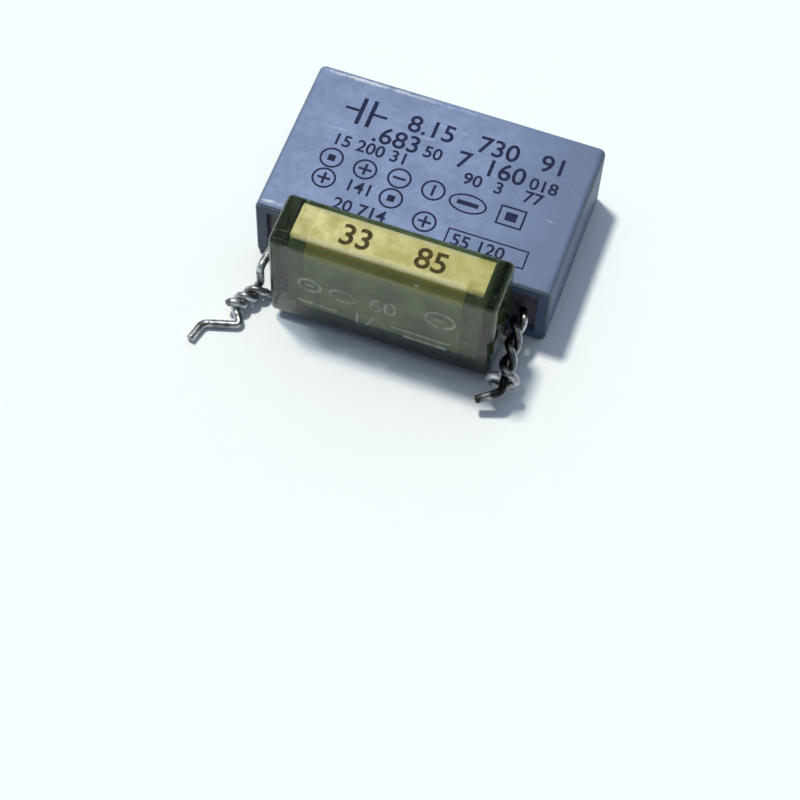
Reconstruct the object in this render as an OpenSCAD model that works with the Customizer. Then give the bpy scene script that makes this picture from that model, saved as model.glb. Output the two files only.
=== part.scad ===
// Two capacitors joined by their leads. A potted plastic box lies on its broad side, and a clear
// resin block stands at its lead side, with the leads of the two twisted together.
// Millimetres, +Z up. The origin is the centre of the box's underside, and -Y is its lead side.

/* [Box] */
// Length of the plastic box, from end to end
box_l = 18; // [16.5:0.1:20]
// Width of the box, from its lead side to its back
box_w = 11; // [9.5:0.1:13]
// Thickness of the box as it lies
box_t = 5; // [4.4:0.1:7]
// Wall of the box
box_wall = 0.7; // [0.5:0.05:0.9]
// Rounding of the box's edges
box_edge_r = 0.4; // [0.2:0.05:0.6]
// Bevel round the rim of the open lead side
rim_bevel = 0.12; // [0.04:0.02:0.2]
// Depth of the potting's face below the rim
potting_recess = 0.35; // [0.2:0.05:0.8]
// Height that the potting creeps up each lead
potting_creep = 0.2; // [0.1:0.02:0.3]
// Spread of the potting's creep round each lead
creep_spread = 0.25; // [0.1:0.05:0.4]
// Resin between the film roll and the box's walls
film_cover = 0.35; // [0.25:0.05:0.5]
// Resin between the film roll and the potting's face
film_lead_cover = 1.1; // [0.8:0.1:2]
// Thickness of the sprayed metal on each end of the film roll
spray_t = 0.5; // [0.3:0.05:0.8]

/* [Block] */
// Length of the resin block, from end to end
block_l = 13.5; // [12.4:0.1:14]
// Thickness of the block, from front to back
block_t = 3.5; // [3:0.1:4.5]
// Height of the block as it stands
block_h = 7.3; // [6.5:0.1:9]
// Rounding of the block's edges
block_edge_r = 0.35; // [0.2:0.05:0.5]
// Gap between the block's back and the box's lead side
block_gap = 0.45; // [0.2:0.05:1]
// How far the block sits to the right of the box's middle
block_shift = 0.12; // [0:0.02:0.3]
// Resin in front of the paper roll
front_cover = 0.8; // [0.4:0.05:1]
// Resin behind the paper roll
back_cover = 0.25; // [0.2:0.05:0.6]
// Resin over the paper roll
top_cover = 0.25; // [0.2:0.05:0.8]
// Resin under the paper roll
base_cover = 0.9; // [0.6:0.05:1.5]
// Resin past each end of the paper roll
end_cover = 1.05; // [0.8:0.05:1.2]
// Rounding of the pressed paper roll
paper_roll_r = 0.4; // [0.3:0.05:0.8]
// Metal between each lead and the paper roll
contact_seat = 0.12; // [0.08:0.02:0.3]

/* [Leads] */
// Spacing of the box's leads
box_pitch = 15; // [14.5:0.1:15.6]
// Diameter of the box's leads
box_lead_d = 0.5; // [0.4:0.02:0.6]
// Length of each lead inside the potting
box_lead_depth = 6.5; // [4:0.1:7.5]
// Spacing of the block's leads
block_pitch = 10.2; // [9.6:0.1:10.4]
// Diameter of the block's leads
block_lead_d = 0.5; // [0.4:0.02:0.6]
// Length of each lead inside the block
block_lead_depth = 4.5; // [2:0.1:5]

/* [Right twist] */
// Gap between the twisted leads and the block's end
right_gap = 0.1; // [0.05:0.05:0.4]
// Distance from the rim to the first turn
right_run_in = 0.75; // [0.6:0.05:1.2]
// Length of one turn, in wire diameters
right_lay = 5.5; // [4:0.1:7]
// Outward swing of the twist, in degrees
right_swing = 6; // [0:1:10]
// Downward slope of the twist, in degrees
right_dip = 6; // [0:1:10]
// Radius of the loose ring that ends the block's lead
ring_r = 0.9; // [0.7:0.05:1.1]
// Length of the box's lead past the ring
right_reach_l = 0.95; // [0.9:0.05:1.5]
// Length of the box's free end, after its last bend
right_end_l = 1.6; // [1.2:0.1:2]

/* [Left twist] */
// Gap from the block's end to the axis of the twist
left_gap = 1; // [0.9:0.05:1.6]
// How far behind the block's front the twist begins
left_back = 1.1; // [0.4:0.05:1.5]
// Length of one turn, in wire diameters
left_lay = 3; // [2.8:0.1:4]
// Outward swing of the twist, in degrees
left_swing = 33; // [20:1:45]
// Height of the twist above the lowest that it can lie
left_float = 0.2; // [0.1:0.05:0.8]
// Length of the tail up to its sharp bend
tail_kick_l = 1.15; // [0.9:0.05:1.5]
// Length of the tail's run outwards
tail_run_l = 2.2; // [1.5:0.1:3]
// Length of the tail's straight free end
tail_end_l = 1.3; // [1:0.1:2]

/* [Hidden] */

// Clearances
fit_gap = 0.03;
table_gap = 0.05;
under_gap = 0.2;
wall_gap = 0.1;

// Round and swept surfaces
round_fn = 48;
edge_fn = 32;
wire_sides = 10;
bend_steps = 5;
turn_steps = 18;
leg_share = 0.49;
wire_slim = 0.006;
rod_overlap = 0.2;
steep = 0.9;
through = 1;

// The box's planes and its hollow, which has room for the leads at both ends
rim_y = -box_w / 2;
back_y = box_w / 2;
potting_y = rim_y + potting_recess;
hollow_x = max(box_l / 2 - box_wall, box_pitch / 2 + box_lead_d / 2 + wall_gap);
hollow_y = back_y - box_wall;
hollow_low = box_wall;
hollow_high = box_t - box_wall;
lead_z = box_t / 2;

// The film roll, with its sprayed ends just inside the leads
film_low = hollow_low + film_cover;
film_high = hollow_high - film_cover;
film_front = potting_y + film_lead_cover;
film_back = hollow_y - film_cover;
film_r = (film_high - film_low) / 2;
spray_x = box_pitch / 2 - box_lead_d / 2 - fit_gap;
film_x = spray_x - spray_t;

// The block stands on its bent leads
block_z = table_gap + block_lead_d + under_gap;
block_top = block_z + block_h;
block_back = rim_y - block_gap;
block_front = block_back - block_t;
block_left = block_shift - block_l / 2;
block_right = block_shift + block_l / 2;

// The paper roll and its end contacts, measured from the block's middle
paper_front = block_front + front_cover;
paper_back = block_back - back_cover;
paper_low = block_z + base_cover;
paper_high = block_top - top_cover;
paper_mid = (paper_front + paper_back) / 2;
paper_x = block_pitch / 2 - block_lead_d / 2 - fit_gap - contact_seat;
contact_x = block_l / 2 - end_cover;

// Two leads twisted round each other: their radius, and the room that they take
wire_low_z = table_gap + block_lead_d / 2;
wire_d = (box_lead_d + block_lead_d) / 2;
twist_r = wire_d / 2 + fit_gap;
twist_reach = twist_r + max(box_lead_d, block_lead_d) / 2;
twist_turns = 1.25;
entry_l = 0.3;

// The right twist, beside the block's end
right_axis = twist_axis(1, right_swing, right_dip);
right_inner = twist_inner(1, right_swing);
right_up = cross(right_inner, right_axis);
right_step = right_lay * wire_d;
right_start = [block_right + right_gap + twist_reach, rim_y - right_run_in, lead_z];
ring_lay = 1.1;
ring_step = ring_lay * block_lead_d;
ring_turns = 0.95;
ring_grow = 0.5;

// The left twist, near the table
left_axis = twist_axis(-1, left_swing, 0);
left_inner = twist_inner(-1, left_swing);
left_up = cross(left_axis, left_inner);
left_step = left_lay * wire_d;
left_start = [block_left - left_gap, block_front + left_back, table_gap + twist_reach + left_float];
curl_turns = 0.2;

// Directions of the free ends, how far the sweep runs into each straight end, and rounding of the bends
tail_lean = 0.35;
tail_run_turn = 17;
tail_end_turn = 13;
right_end_ahead = 0.5;
right_end_drop = 0.5;
tail_kick_dir = unit(left_inner + tail_lean * left_axis);
tail_run_dir = [-cos(tail_run_turn), -sin(tail_run_turn), 0];
tail_end_dir = [-sin(tail_end_turn), -cos(tail_end_turn), 0];
right_end_dir = unit([-1, -right_end_ahead, -right_end_drop]);
tail_run_in = 0.2;
right_end_run_in = 0.8;
lead_bend = 0.45;
tail_bend = 0.35;

// Vectors, bends and turns
function unit(v) = v / norm(v);
function mix(a, b, s) = a + (b - a) * s;
function ease(s) = let (c = max(0, min(1, s))) c * c * (3 - 2 * c);

function bend_cut(c, i, size) =
  min(size, leg_share * norm(c[i] - c[i - 1]), leg_share * norm(c[i + 1] - c[i]));

function bend(a, p, b, cut) =
  let (s = p + cut * unit(a - p), e = p + cut * unit(b - p))
  [for (i = [0:bend_steps]) let (t = i / bend_steps) mix(mix(s, p, t), mix(p, e, t), t)];

// A route through corner points, rounded at each inner corner
function bent(c, size) = concat(
  [c[0]],
  [for (i = [1:len(c) - 2]) each bend(c[i - 1], c[i], c[i + 1], bend_cut(c, i, size))],
  [c[len(c) - 1]]
);

// A twist's axis runs ahead, outwards and down, and its inner side faces the block
function twist_axis(side, swing, dip) =
  [side * sin(swing) * cos(dip), -cos(swing) * cos(dip), -sin(dip)];
function twist_inner(side, swing) = [-side * cos(swing), -sin(swing), 0];

// Place and direction of a strand of a twist at an angle, after an advance along the axis
function strand(start, axis, inner, rise, angle, advance, r) =
  start + advance * axis + r * (cos(angle) * inner + sin(angle) * rise);
function strand_dir(axis, inner, rise, angle, step, r) =
  unit(step * axis + 2 * PI * r * (cos(angle) * rise - sin(angle) * inner));

// A list without its first point, to join one stretch of a route to the next
function tail_of(p) = [for (i = [1:len(p) - 1]) p[i]];

function tangent(p, i) = unit(p[min(i + 1, len(p) - 1)] - p[max(i - 1, 0)]);
function side_of(t) = unit(cross(t, abs(t.z) < steep ? [0, 0, 1] : [1, 0, 0]));
function square_to(n, t) = unit(n - (n * t) * t);

function sides_along(p) = [
  for (i = 0, n = side_of(tangent(p, 0)); i < len(p);
       i = i + 1, n = i < len(p) ? square_to(n, tangent(p, i)) : n) n
];

// A round wire swept along a route
module wire(route, d) {
  r = d / 2 - wire_slim;
  last = len(route) - 1;
  n = sides_along(route);
  points = [
    for (i = [0:last], j = [0:wire_sides - 1])
      let (a = 360 * j / wire_sides, b = cross(tangent(route, i), n[i]))
      route[i] + r * (cos(a) * n[i] + sin(a) * b)
  ];
  skin = [
    for (i = [0:last - 1], j = [0:wire_sides - 1])
      let (k = (j + 1) % wire_sides, p = i * wire_sides, q = p + wire_sides)
      each [[p + j, q + j, q + k], [p + j, q + k, p + k]]
  ];
  start_cap = [for (j = [0:wire_sides - 1]) j];
  end_cap = [for (j = [wire_sides - 1:-1:0]) last * wire_sides + j];
  polyhedron(points, concat([start_cap], skin, [end_cap]), convexity = 10);
}

// A straight round length of wire between two points
module rod(a, b, d) {
  v = b - a;
  translate(a)
    rotate([0, acos(v.z / norm(v)), atan2(v.y, v.x)])
      cylinder(d = d, h = norm(v), $fn = round_fn);
}

// Corner points of the leads, on the left where side is -1 and on the right where it is 1
function box_lead_inside(side) = [side * box_pitch / 2, potting_y + box_lead_depth, lead_z];
function box_lead_outside(side) = [side * box_pitch / 2, rim_y, lead_z];
function block_lead_x(side) = block_shift + side * block_pitch / 2;
function block_lead_inside(side) = [block_lead_x(side), paper_mid, block_z + block_lead_depth];
function block_lead_foot(side) = [block_lead_x(side), paper_mid, block_z + rod_overlap];
function block_lead_turn(side) = [block_lead_x(side), paper_mid, wire_low_z];

// A lead's place in the right or left twist, after a number of turns: the block's lead starts on the
// inner side and goes up, and the box's lead starts on the outer side and goes down
block_phase = 0;
box_phase = 180;
function right_strand(phase, turns) =
  strand(right_start, right_axis, right_inner, right_up, phase + 360 * turns, turns * right_step, twist_r);
function left_strand(phase, turns) =
  strand(left_start, left_axis, left_inner, left_up, phase + 360 * turns, turns * left_step, twist_r);
function right_entry(phase) =
  let (ahead = strand_dir(right_axis, right_inner, right_up, phase, right_step, twist_r))
  right_strand(phase, 0) - entry_l * ahead;
function left_entry(phase) =
  let (ahead = strand_dir(left_axis, left_inner, left_up, phase, left_step, twist_r))
  left_strand(phase, 0) - entry_l * ahead;

// The twisted stretch of a lead, from its first step to its last
function right_twist(phase) = [for (i = [0:twist_turns * turn_steps]) right_strand(phase, i / turn_steps)];
function left_twist(phase) = [for (i = [0:twist_turns * turn_steps]) left_strand(phase, i / turn_steps)];

// The free ends of the box's leads
left_twist_end = left_strand(box_phase, twist_turns);
left_tail_corner = [
  left_twist_end.x + tail_kick_l * tail_kick_dir.x, left_twist_end.y + tail_kick_l * tail_kick_dir.y,
  table_gap + box_lead_d / 2
];
left_tail_knee = left_tail_corner + tail_run_l * tail_run_dir;
left_tail_tip = left_tail_knee + tail_end_l * tail_end_dir;
right_end_corner = right_strand(box_phase, twist_turns) + right_reach_l * right_axis;
right_tip = right_end_corner + right_end_l * right_end_dir;

// A block with all its edges rounded, between two corners
module rounded_block(low, high, r) {
  hull()
    for (x = [low.x + r, high.x - r], y = [low.y + r, high.y - r], z = [low.z + r, high.z - r])
      translate([x, y, z])
        sphere(r = r, $fn = edge_fn);
}

// A pressed roll that lies along X, between two corners of its section
module roll(x0, x1, front, back, low, high, r) {
  hull()
    for (y = [front + r, back - r], z = [low + r, high - r])
      translate([x0, y, z])
        rotate([0, 90, 0])
          cylinder(r = r, h = x1 - x0, $fn = edge_fn);
}

// The film roll's section, between two places along it
module film_section(x0, x1, gap = 0) {
  roll(x0, x1, film_front - gap, film_back + gap, film_low - gap, film_high + gap, film_r + gap);
}

// The paper roll's section, between two places along it
module paper_section(x0, x1, gap = 0) {
  roll(block_shift + x0, block_shift + x1, paper_front - gap, paper_back + gap, paper_low - gap,
       paper_high + gap, paper_roll_r + gap);
}

// The moulded box: rounded round its back and its long edges, bevelled at the open rim
module box_outside() {
  r = box_edge_r;
  hull()
    for (x = [-box_l / 2 + r, box_l / 2 - r], z = [r, box_t - r]) {
      translate([x, back_y - r, z])
        sphere(r = r, $fn = edge_fn);
      translate([x, rim_y + rim_bevel, z])
        rotate([-90, 0, 0])
          cylinder(r = r, h = rim_bevel, $fn = edge_fn);
      translate([x, rim_y, z])
        rotate([-90, 0, 0])
          cylinder(r = r - rim_bevel, h = rim_bevel, $fn = edge_fn);
    }
}

module box_case() {
  color("#7d92bc")
    difference() {
      box_outside();
      translate([-hollow_x, rim_y - through, hollow_low])
        cube([2 * hollow_x, hollow_y - rim_y + through, hollow_high - hollow_low]);
    }
}

// Resin climbs a little way up each lead
module potting_collar(side) {
  translate([side * box_pitch / 2, potting_y, lead_z])
    rotate([90, 0, 0])
      cylinder(r1 = box_lead_d / 2 + creep_spread, r2 = box_lead_d / 2 + creep_spread / 2,
               h = potting_creep, $fn = round_fn);
}

module box_potting() {
  color("#4b464f")
    difference() {
      union() {
        translate([-hollow_x, potting_y, hollow_low])
          cube([2 * hollow_x, hollow_y - potting_y, hollow_high - hollow_low]);
        for (side = [-1, 1])
          potting_collar(side);
      }
      film_section(-spray_x - fit_gap, spray_x + fit_gap, fit_gap);
      for (side = [-1, 1])
        rod(box_lead_inside(side) + [0, fit_gap, 0], box_lead_outside(side) - [0, through, 0],
            box_lead_d + 2 * fit_gap);
    }
}

module film_roll() {
  color("#c9ccd2")
    film_section(-film_x, film_x);
}

module film_roll_left_end() {
  color("#9aa0a6")
    film_section(-spray_x, -film_x);
}

module film_roll_right_end() {
  color("#9aa0a6")
    film_section(film_x, spray_x);
}

// The box's left lead drops towards the table, twists with the block's lead and leaves as a tail
function box_left_route() = concat(
  bent([
    box_lead_outside(-1),
    [left_entry(box_phase).x, left_entry(box_phase).y, lead_z],
    left_entry(box_phase), left_strand(box_phase, 0)
  ], lead_bend),
  tail_of(left_twist(box_phase)),
  tail_of(bent([
    left_twist_end, left_tail_corner, left_tail_knee,
    left_tail_knee + (tail_run_in + rod_overlap) * tail_end_dir
  ], tail_bend))
);

module box_left_lead() {
  color("#b4b7bb") {
    rod(box_lead_inside(-1), box_lead_outside(-1) - [0, rod_overlap, 0], box_lead_d);
    wire(box_left_route(), box_lead_d);
    rod(left_tail_knee + tail_run_in * tail_end_dir, left_tail_tip, box_lead_d);
  }
}

// The box's right lead runs ahead beside the block's end, through the ring, to a short free end
function box_right_route() = concat(
  bent([box_lead_outside(1), right_entry(box_phase), right_strand(box_phase, 0)], lead_bend),
  tail_of(right_twist(box_phase)),
  tail_of(bent([
    right_strand(box_phase, twist_turns), right_end_corner,
    right_end_corner + (right_end_run_in + rod_overlap) * right_end_dir
  ], tail_bend))
);

module box_right_lead() {
  color("#b4b7bb") {
    rod(box_lead_inside(1), box_lead_outside(1) - [0, rod_overlap, 0], box_lead_d);
    wire(box_right_route(), box_lead_d);
    rod(right_end_corner + right_end_run_in * right_end_dir, right_tip, box_lead_d);
  }
}

module block_body() {
  color("#6f7a52")
    difference() {
      rounded_block([block_left, block_front, block_z], [block_right, block_back, block_top], block_edge_r);
      paper_section(-contact_x - fit_gap, contact_x + fit_gap, fit_gap);
      for (side = [-1, 1])
        block_lead_hole(side);
    }
}

// The hole that a lead fills, in the resin and in the sprayed metal
module block_lead_hole(side) {
  rod(block_lead_turn(side), block_lead_inside(side) + [0, 0, fit_gap], block_lead_d + 2 * fit_gap);
}

module paper_roll() {
  color("#e3da8c")
    paper_section(-paper_x, paper_x);
}

// A sprayed end of the paper roll, with the lead bedded in it
module paper_roll_end(side, x0, x1) {
  color("#b9b7a2")
    difference() {
      paper_section(x0, x1);
      block_lead_hole(side);
    }
}

module paper_roll_left_end() {
  paper_roll_end(-1, -contact_x, -paper_x);
}

module paper_roll_right_end() {
  paper_roll_end(1, paper_x, contact_x);
}

// The block's left lead runs out under the block, rises, twists and ends in a short curl
function block_left_route() = concat(
  bent([
    block_lead_foot(-1), block_lead_turn(-1),
    [left_entry(block_phase).x, left_entry(block_phase).y, wire_low_z],
    left_entry(block_phase), left_strand(block_phase, 0)
  ], lead_bend),
  tail_of(left_twist(block_phase)),
  [for (i = [1:ceil(curl_turns * turn_steps)]) left_strand(block_phase, twist_turns + i / turn_steps)]
);

module block_left_lead() {
  color("#a9abaf") {
    rod(block_lead_inside(-1), block_lead_foot(-1) - [0, 0, rod_overlap / 2], block_lead_d);
    wire(block_left_route(), block_lead_d);
  }
}

// The block's right lead does the same, and ends in a loose ring round the box's lead
function block_right_route() = concat(
  bent([
    block_lead_foot(1), block_lead_turn(1),
    [right_entry(block_phase).x, right_entry(block_phase).y, wire_low_z],
    right_entry(block_phase), right_strand(block_phase, 0)
  ], lead_bend),
  tail_of(right_twist(block_phase)),
  [for (i = [1:ceil(ring_turns * turn_steps)])
    let (turns = i / turn_steps, angle = block_phase + 360 * (twist_turns + turns))
    strand(right_start, right_axis, right_inner, right_up, angle,
           twist_turns * right_step + turns * ring_step, mix(twist_r, ring_r, ease(turns / ring_grow)))]
);

module block_right_lead() {
  color("#a9abaf") {
    rod(block_lead_inside(1), block_lead_foot(1) - [0, 0, rod_overlap / 2], block_lead_d);
    wire(block_right_route(), block_lead_d);
  }
}

box_case();
box_potting();
film_roll();
film_roll_left_end();
film_roll_right_end();
box_left_lead();
box_right_lead();
block_body();
paper_roll();
paper_roll_left_end();
paper_roll_right_end();
block_left_lead();
block_right_lead();
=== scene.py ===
"""Dresses the joined capacitor pair and sets it on a pale floor.

A blue-grey box capacitor lies on its broad side. A clear resin block capacitor stands at its lead side,
and the leads of the two are twisted together. Sizes are in millimetres, and the meshes are in metres.
"""

import logging
import math
from collections.abc import Iterable, Mapping, Sequence
from dataclasses import dataclass
from enum import Enum
from typing import Any

import bmesh
import bpy
from mathutils import Matrix, Vector


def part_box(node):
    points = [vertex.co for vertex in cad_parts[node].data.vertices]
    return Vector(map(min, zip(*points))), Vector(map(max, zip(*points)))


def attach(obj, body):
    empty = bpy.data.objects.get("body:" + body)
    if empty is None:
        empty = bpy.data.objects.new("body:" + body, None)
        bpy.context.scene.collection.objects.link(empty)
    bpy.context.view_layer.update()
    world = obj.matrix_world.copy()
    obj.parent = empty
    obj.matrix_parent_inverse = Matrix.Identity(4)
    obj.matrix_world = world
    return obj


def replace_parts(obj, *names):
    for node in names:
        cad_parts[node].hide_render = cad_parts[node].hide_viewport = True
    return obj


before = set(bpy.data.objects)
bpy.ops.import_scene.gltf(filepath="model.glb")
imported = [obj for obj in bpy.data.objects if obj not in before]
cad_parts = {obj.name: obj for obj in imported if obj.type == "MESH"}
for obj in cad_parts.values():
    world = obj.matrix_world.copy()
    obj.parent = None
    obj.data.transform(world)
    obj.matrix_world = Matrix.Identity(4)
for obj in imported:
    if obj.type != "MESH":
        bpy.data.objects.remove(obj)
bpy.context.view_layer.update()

MM = 0.001
BODY = "root"
LOG = logging.getLogger("capacitor_pair")

# Sizes that the leads and the block share
WIRE_D = 0.5
FIT_GAP = 0.03
BLOCK_PITCH = 10.2
BLOCK_LEAD_DEPTH = 4.5

# A full turn, and the bends past which an edge stays sharp on a new piece and on a node, in degrees
FULL_TURN = 360.0
SHARP_ANGLE = 40.0
NODE_SHARP_ANGLE = 30.0

# Points that lie nearer than this are one: in metres on a node, in millimetres on a mark and on a route
NODE_WELD_GAP = 1e-7
MARK_WELD_GAP = 1e-5
POINT_GAP = 1e-4

# The most of a leg that a bend takes, the bevel profile of a round edge, and an effect's even stretch
LEG_SHARE = 0.49
ROUND_PROFILE = 0.5
EVEN = (1.0, 1.0, 1.0)

# The height of a digit as a share of its font's size, and the steps along its curves
DIGIT_SHARE = 0.73
DIGIT_STEPS = 6

Colour = tuple[float, float, float, float]
Pair = tuple[float, float]
Triple = tuple[float, float, float]
Shape = bmesh.types.BMesh
Vertex = bmesh.types.BMVert
Socket = bpy.types.NodeSocket
Value = float | Sequence[float] | Socket


def srgb(red: float, green: float, blue: float) -> Colour:
    """Turns a colour in 0 to 255 into the linear colour that a shader takes, by the curve of the standard.

    Args:
        red: Red as a screen shows it.
        green: Green as a screen shows it.
        blue: Blue as a screen shows it.

    Returns:
        The linear colour with full alpha.
    """
    shares = [level / 255 for level in (red, green, blue)]
    linear = [s / 12.92 if s <= 0.04045 else ((s + 0.055) / 1.055) ** 2.4 for s in shares]
    return (*linear, 1.0)


class Slot(Enum):
    """The record's material slots."""

    BOX_PLASTIC = "box_plastic"
    CLEAR_RESIN = "clear_resin"
    METALLISED_PAPER = "metallised_paper"
    TINNED_WIRE = "tinned_wire"


class Axis(Enum):
    """An axis of the pair's frame."""

    X = 0
    Y = 1
    Z = 2


class Side(Enum):
    """An end of the pair, seen from its lead side."""

    LEFT = -1
    RIGHT = 1


class Strand(Enum):
    """Where a lead starts in its twist, in degrees from the side that faces the block."""

    BLOCK = 0.0
    BOX = 180.0


class SocketKind(Enum):
    """The kinds of socket that a shared effect has."""

    VALUE = "NodeSocketFloat"
    VECTOR = "NodeSocketVector"
    COLOUR = "NodeSocketColor"


class MarkKind(Enum):
    """The plain shapes that a print is made of."""

    NUMBER = "number"
    RING = "ring"
    BAR = "bar"
    FRAME = "frame"


class ResinFace(Enum):
    """The kinds of face that the resin block has, in the order of its materials."""

    SKIN = 0
    SEAM = 1
    CHIP = 2
    UNDERSIDE = 3


VALUE, VECTOR, COLOUR = SocketKind


@dataclass(frozen=True)
class Extent:
    """The lowest and highest corner of a node, in millimetres."""

    low: Vector
    high: Vector

    @classmethod
    def of(cls, node: str) -> "Extent":
        """Reads the extent of a node of the frame."""
        low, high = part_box(node)
        return cls(low / MM, high / MM)

    @property
    def middle(self) -> Vector:
        """The middle of the extent."""
        return (self.low + self.high) / 2

    @property
    def half(self) -> Vector:
        """Half of the extent's size."""
        return (self.high - self.low) / 2


@dataclass(frozen=True)
class Twist:
    """Two leads wound round one axis."""

    start: Vector
    axis: Vector
    inner: Vector
    rise: Vector
    step: float
    radius: float

    def at(self, angle: float, advance: float, radius: float) -> Vector:
        """Finds a place beside the axis.

        Args:
            angle: The angle round the axis, in degrees from its inner side.
            advance: The distance along the axis.
            radius: The distance from the axis.

        Returns:
            The place.
        """
        turn = math.radians(angle)
        outward = math.cos(turn) * self.inner + math.sin(turn) * self.rise
        return self.start + advance * self.axis + radius * outward

    def strand(self, lead: Strand, turns: float) -> Vector:
        """The place of a lead after a number of turns."""
        return self.at(lead.value + FULL_TURN * turns, turns * self.step, self.radius)

    def entry(self, lead: Strand, length: float) -> Vector:
        """Finds where a lead runs in, on a line with its first turn.

        Args:
            lead: The lead.
            length: The length of the straight run before the first turn.

        Returns:
            The place where that run starts.
        """
        turn = math.radians(lead.value)
        sideways = math.cos(turn) * self.rise - math.sin(turn) * self.inner
        ahead = self.step * self.axis + math.tau * self.radius * sideways
        return self.strand(lead, 0) - length * ahead.normalized()

    def run(self, lead: Strand, first: float, last: float, steps: int) -> list[Vector]:
        """Lists a lead's places from one number of turns to another."""
        count = math.ceil((last - first) * steps)
        return [self.strand(lead, first + (last - first) * i / count) for i in range(1, count + 1)]


class NodeBoard:
    """Adds and links the nodes of one node tree."""

    MIX_FACTOR, MIX_A, MIX_B, MIX_RESULT = 0, 6, 7, 2
    FACES_UP = (0.05, 0.4)

    def __init__(self, tree: bpy.types.NodeTree) -> None:
        """Takes the tree to work on."""
        self.tree = tree

    def feed(self, socket: Socket, value: Value) -> None:
        """Links an input to an output, or sets its value.

        Args:
            socket: The input.
            value: The output or the value.
        """
        if isinstance(value, Socket):
            self.tree.links.new(value, socket)
        else:
            socket.default_value = value

    def fill(self, node: bpy.types.Node, inputs: Mapping[str, Value]) -> None:
        """Feeds a node's inputs by name."""
        for name, value in inputs.items():
            self.feed(node.inputs[name], value)

    def add(self, kind: str, inputs: Mapping[str, Value] | None = None, **settings: Any) -> bpy.types.Node:
        """Adds a node.

        Args:
            kind: The node's type.
            inputs: Values or sockets for its inputs, by name.
            settings: The node's own settings.

        Returns:
            The new node.
        """
        node = self.tree.nodes.new(kind)
        for name, setting in settings.items():
            setattr(node, name, setting)
        self.fill(node, inputs or {})
        return node

    def add_row(self, kind: str, values: Sequence[Value], **settings: Any) -> bpy.types.Node:
        """Adds a node and feeds its inputs in their order.

        Args:
            kind: The node's type.
            values: Values or sockets for its inputs.
            settings: The node's own settings.

        Returns:
            The new node.
        """
        node = self.add(kind, **settings)
        for socket, value in zip(node.inputs, values):
            self.feed(socket, value)
        return node

    def math(self, operation: str, *values: Value) -> Socket:
        """Adds a math node and returns its result."""
        return self.add_row("ShaderNodeMath", values, operation=operation).outputs[0]

    def vector(self, operation: str, *values: Value) -> Socket:
        """Adds a vector math node and returns its vector."""
        return self.add_row("ShaderNodeVectorMath", values, operation=operation).outputs["Vector"]

    def distance(self, first: Value, second: Value) -> Socket:
        """Measures from one place to another."""
        return self.add_row("ShaderNodeVectorMath", (first, second), operation="DISTANCE").outputs["Value"]

    def either(self, factor: Value, first: Socket, second: Socket) -> Socket:
        """Mixes two shaders."""
        return self.add_row("ShaderNodeMixShader", (factor, first, second)).outputs["Shader"]

    def parts(self, vector: Socket) -> list[Socket]:
        """Splits a vector into its three parts."""
        return list(self.add("ShaderNodeSeparateXYZ", {"Vector": vector}).outputs)

    def rest(self, share: Value) -> Socket:
        """What a share leaves of the whole."""
        return self.math("SUBTRACT", 1.0, share)

    def ramp(self, value: Value, low: Value, high: Value) -> Socket:
        """Maps a value smoothly from 0 at low to 1 at high."""
        inputs = {"Value": value, "From Min": low, "From Max": high}
        return self.add("ShaderNodeMapRange", inputs, interpolation_type="SMOOTHSTEP").outputs[0]

    def band(self, value: Value, rise: Pair, fall: Pair) -> Socket:
        """Maps a value to 1 between where it rises and where it falls, and to 0 beyond."""
        return self.math("SUBTRACT", self.ramp(value, *rise), self.ramp(value, *fall))

    def between(self, factor: Value, low: Value, high: Value) -> Socket:
        """Gives a value from low, where the factor is 0, to high, where it is 1."""
        inputs = {"Value": factor, "To Min": low, "To Max": high}
        return self.add("ShaderNodeMapRange", inputs).outputs[0]

    def blend(self, factor: Value, first: Value, second: Value) -> Socket:
        """Mixes two colours.

        Args:
            factor: The second colour's share.
            first: The first colour.
            second: The second colour.

        Returns:
            The mixed colour.
        """
        node = self.add("ShaderNodeMix", data_type="RGBA")
        self.feed(node.inputs[self.MIX_FACTOR], factor)
        self.feed(node.inputs[self.MIX_A], first)
        self.feed(node.inputs[self.MIX_B], second)
        return node.outputs[self.MIX_RESULT]

    def coated(self, colour: Value, *coats: tuple[Value, Value, float]) -> Value:
        """Lays coats over a colour.

        Args:
            colour: What lies under them.
            coats: The colour, the mask and the share of each, from the lowest up.

        Returns:
            The colour that shows.
        """
        for over, mask, share in coats:
            colour = self.blend(self.math("MULTIPLY", mask, share), colour, over)
        return colour

    def topped(self, sides: Value, top: Value) -> Socket:
        """Gives one colour where the surface faces up and another at its sides."""
        return self.blend(self.ramp(self.facing(Axis.Z), *self.FACES_UP), sides, top)

    def point(self) -> Socket:
        """The place on the piece, in millimetres."""
        place = self.add("ShaderNodeTexCoord").outputs["Object"]
        return self.vector("MULTIPLY", place, (1 / MM,) * 3)

    def along(self, axis: Axis) -> Socket:
        """The place along an axis, in millimetres."""
        return self.parts(self.point())[axis.value]

    def across(self, extent: Extent, axis: Axis) -> Socket:
        """Goes smoothly from 0 to 1 between the two sides of an extent."""
        return self.ramp(self.along(axis), extent.low[axis.value], extent.high[axis.value])

    def facing(self, axis: Axis) -> Socket:
        """How far the surface faces along an axis, from -1 to 1."""
        return self.parts(self.add("ShaderNodeNewGeometry").outputs["Normal"])[axis.value]

    def noise(self, place: Value, scale: Value, detail: Value) -> Socket:
        """Adds a noise texture and returns its value, from 0 to 1."""
        inputs = {"Vector": place, "Scale": scale, "Detail": detail}
        return self.add("ShaderNodeTexNoise", inputs).outputs["Fac"]

    def bump(self, height: Value, depth: float) -> Socket:
        """Turns a height from 0 to 1 into the normal of a relief that is so many millimetres deep."""
        return self.add("ShaderNodeBump", {"Height": height, "Distance": depth * MM}).outputs["Normal"]

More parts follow.
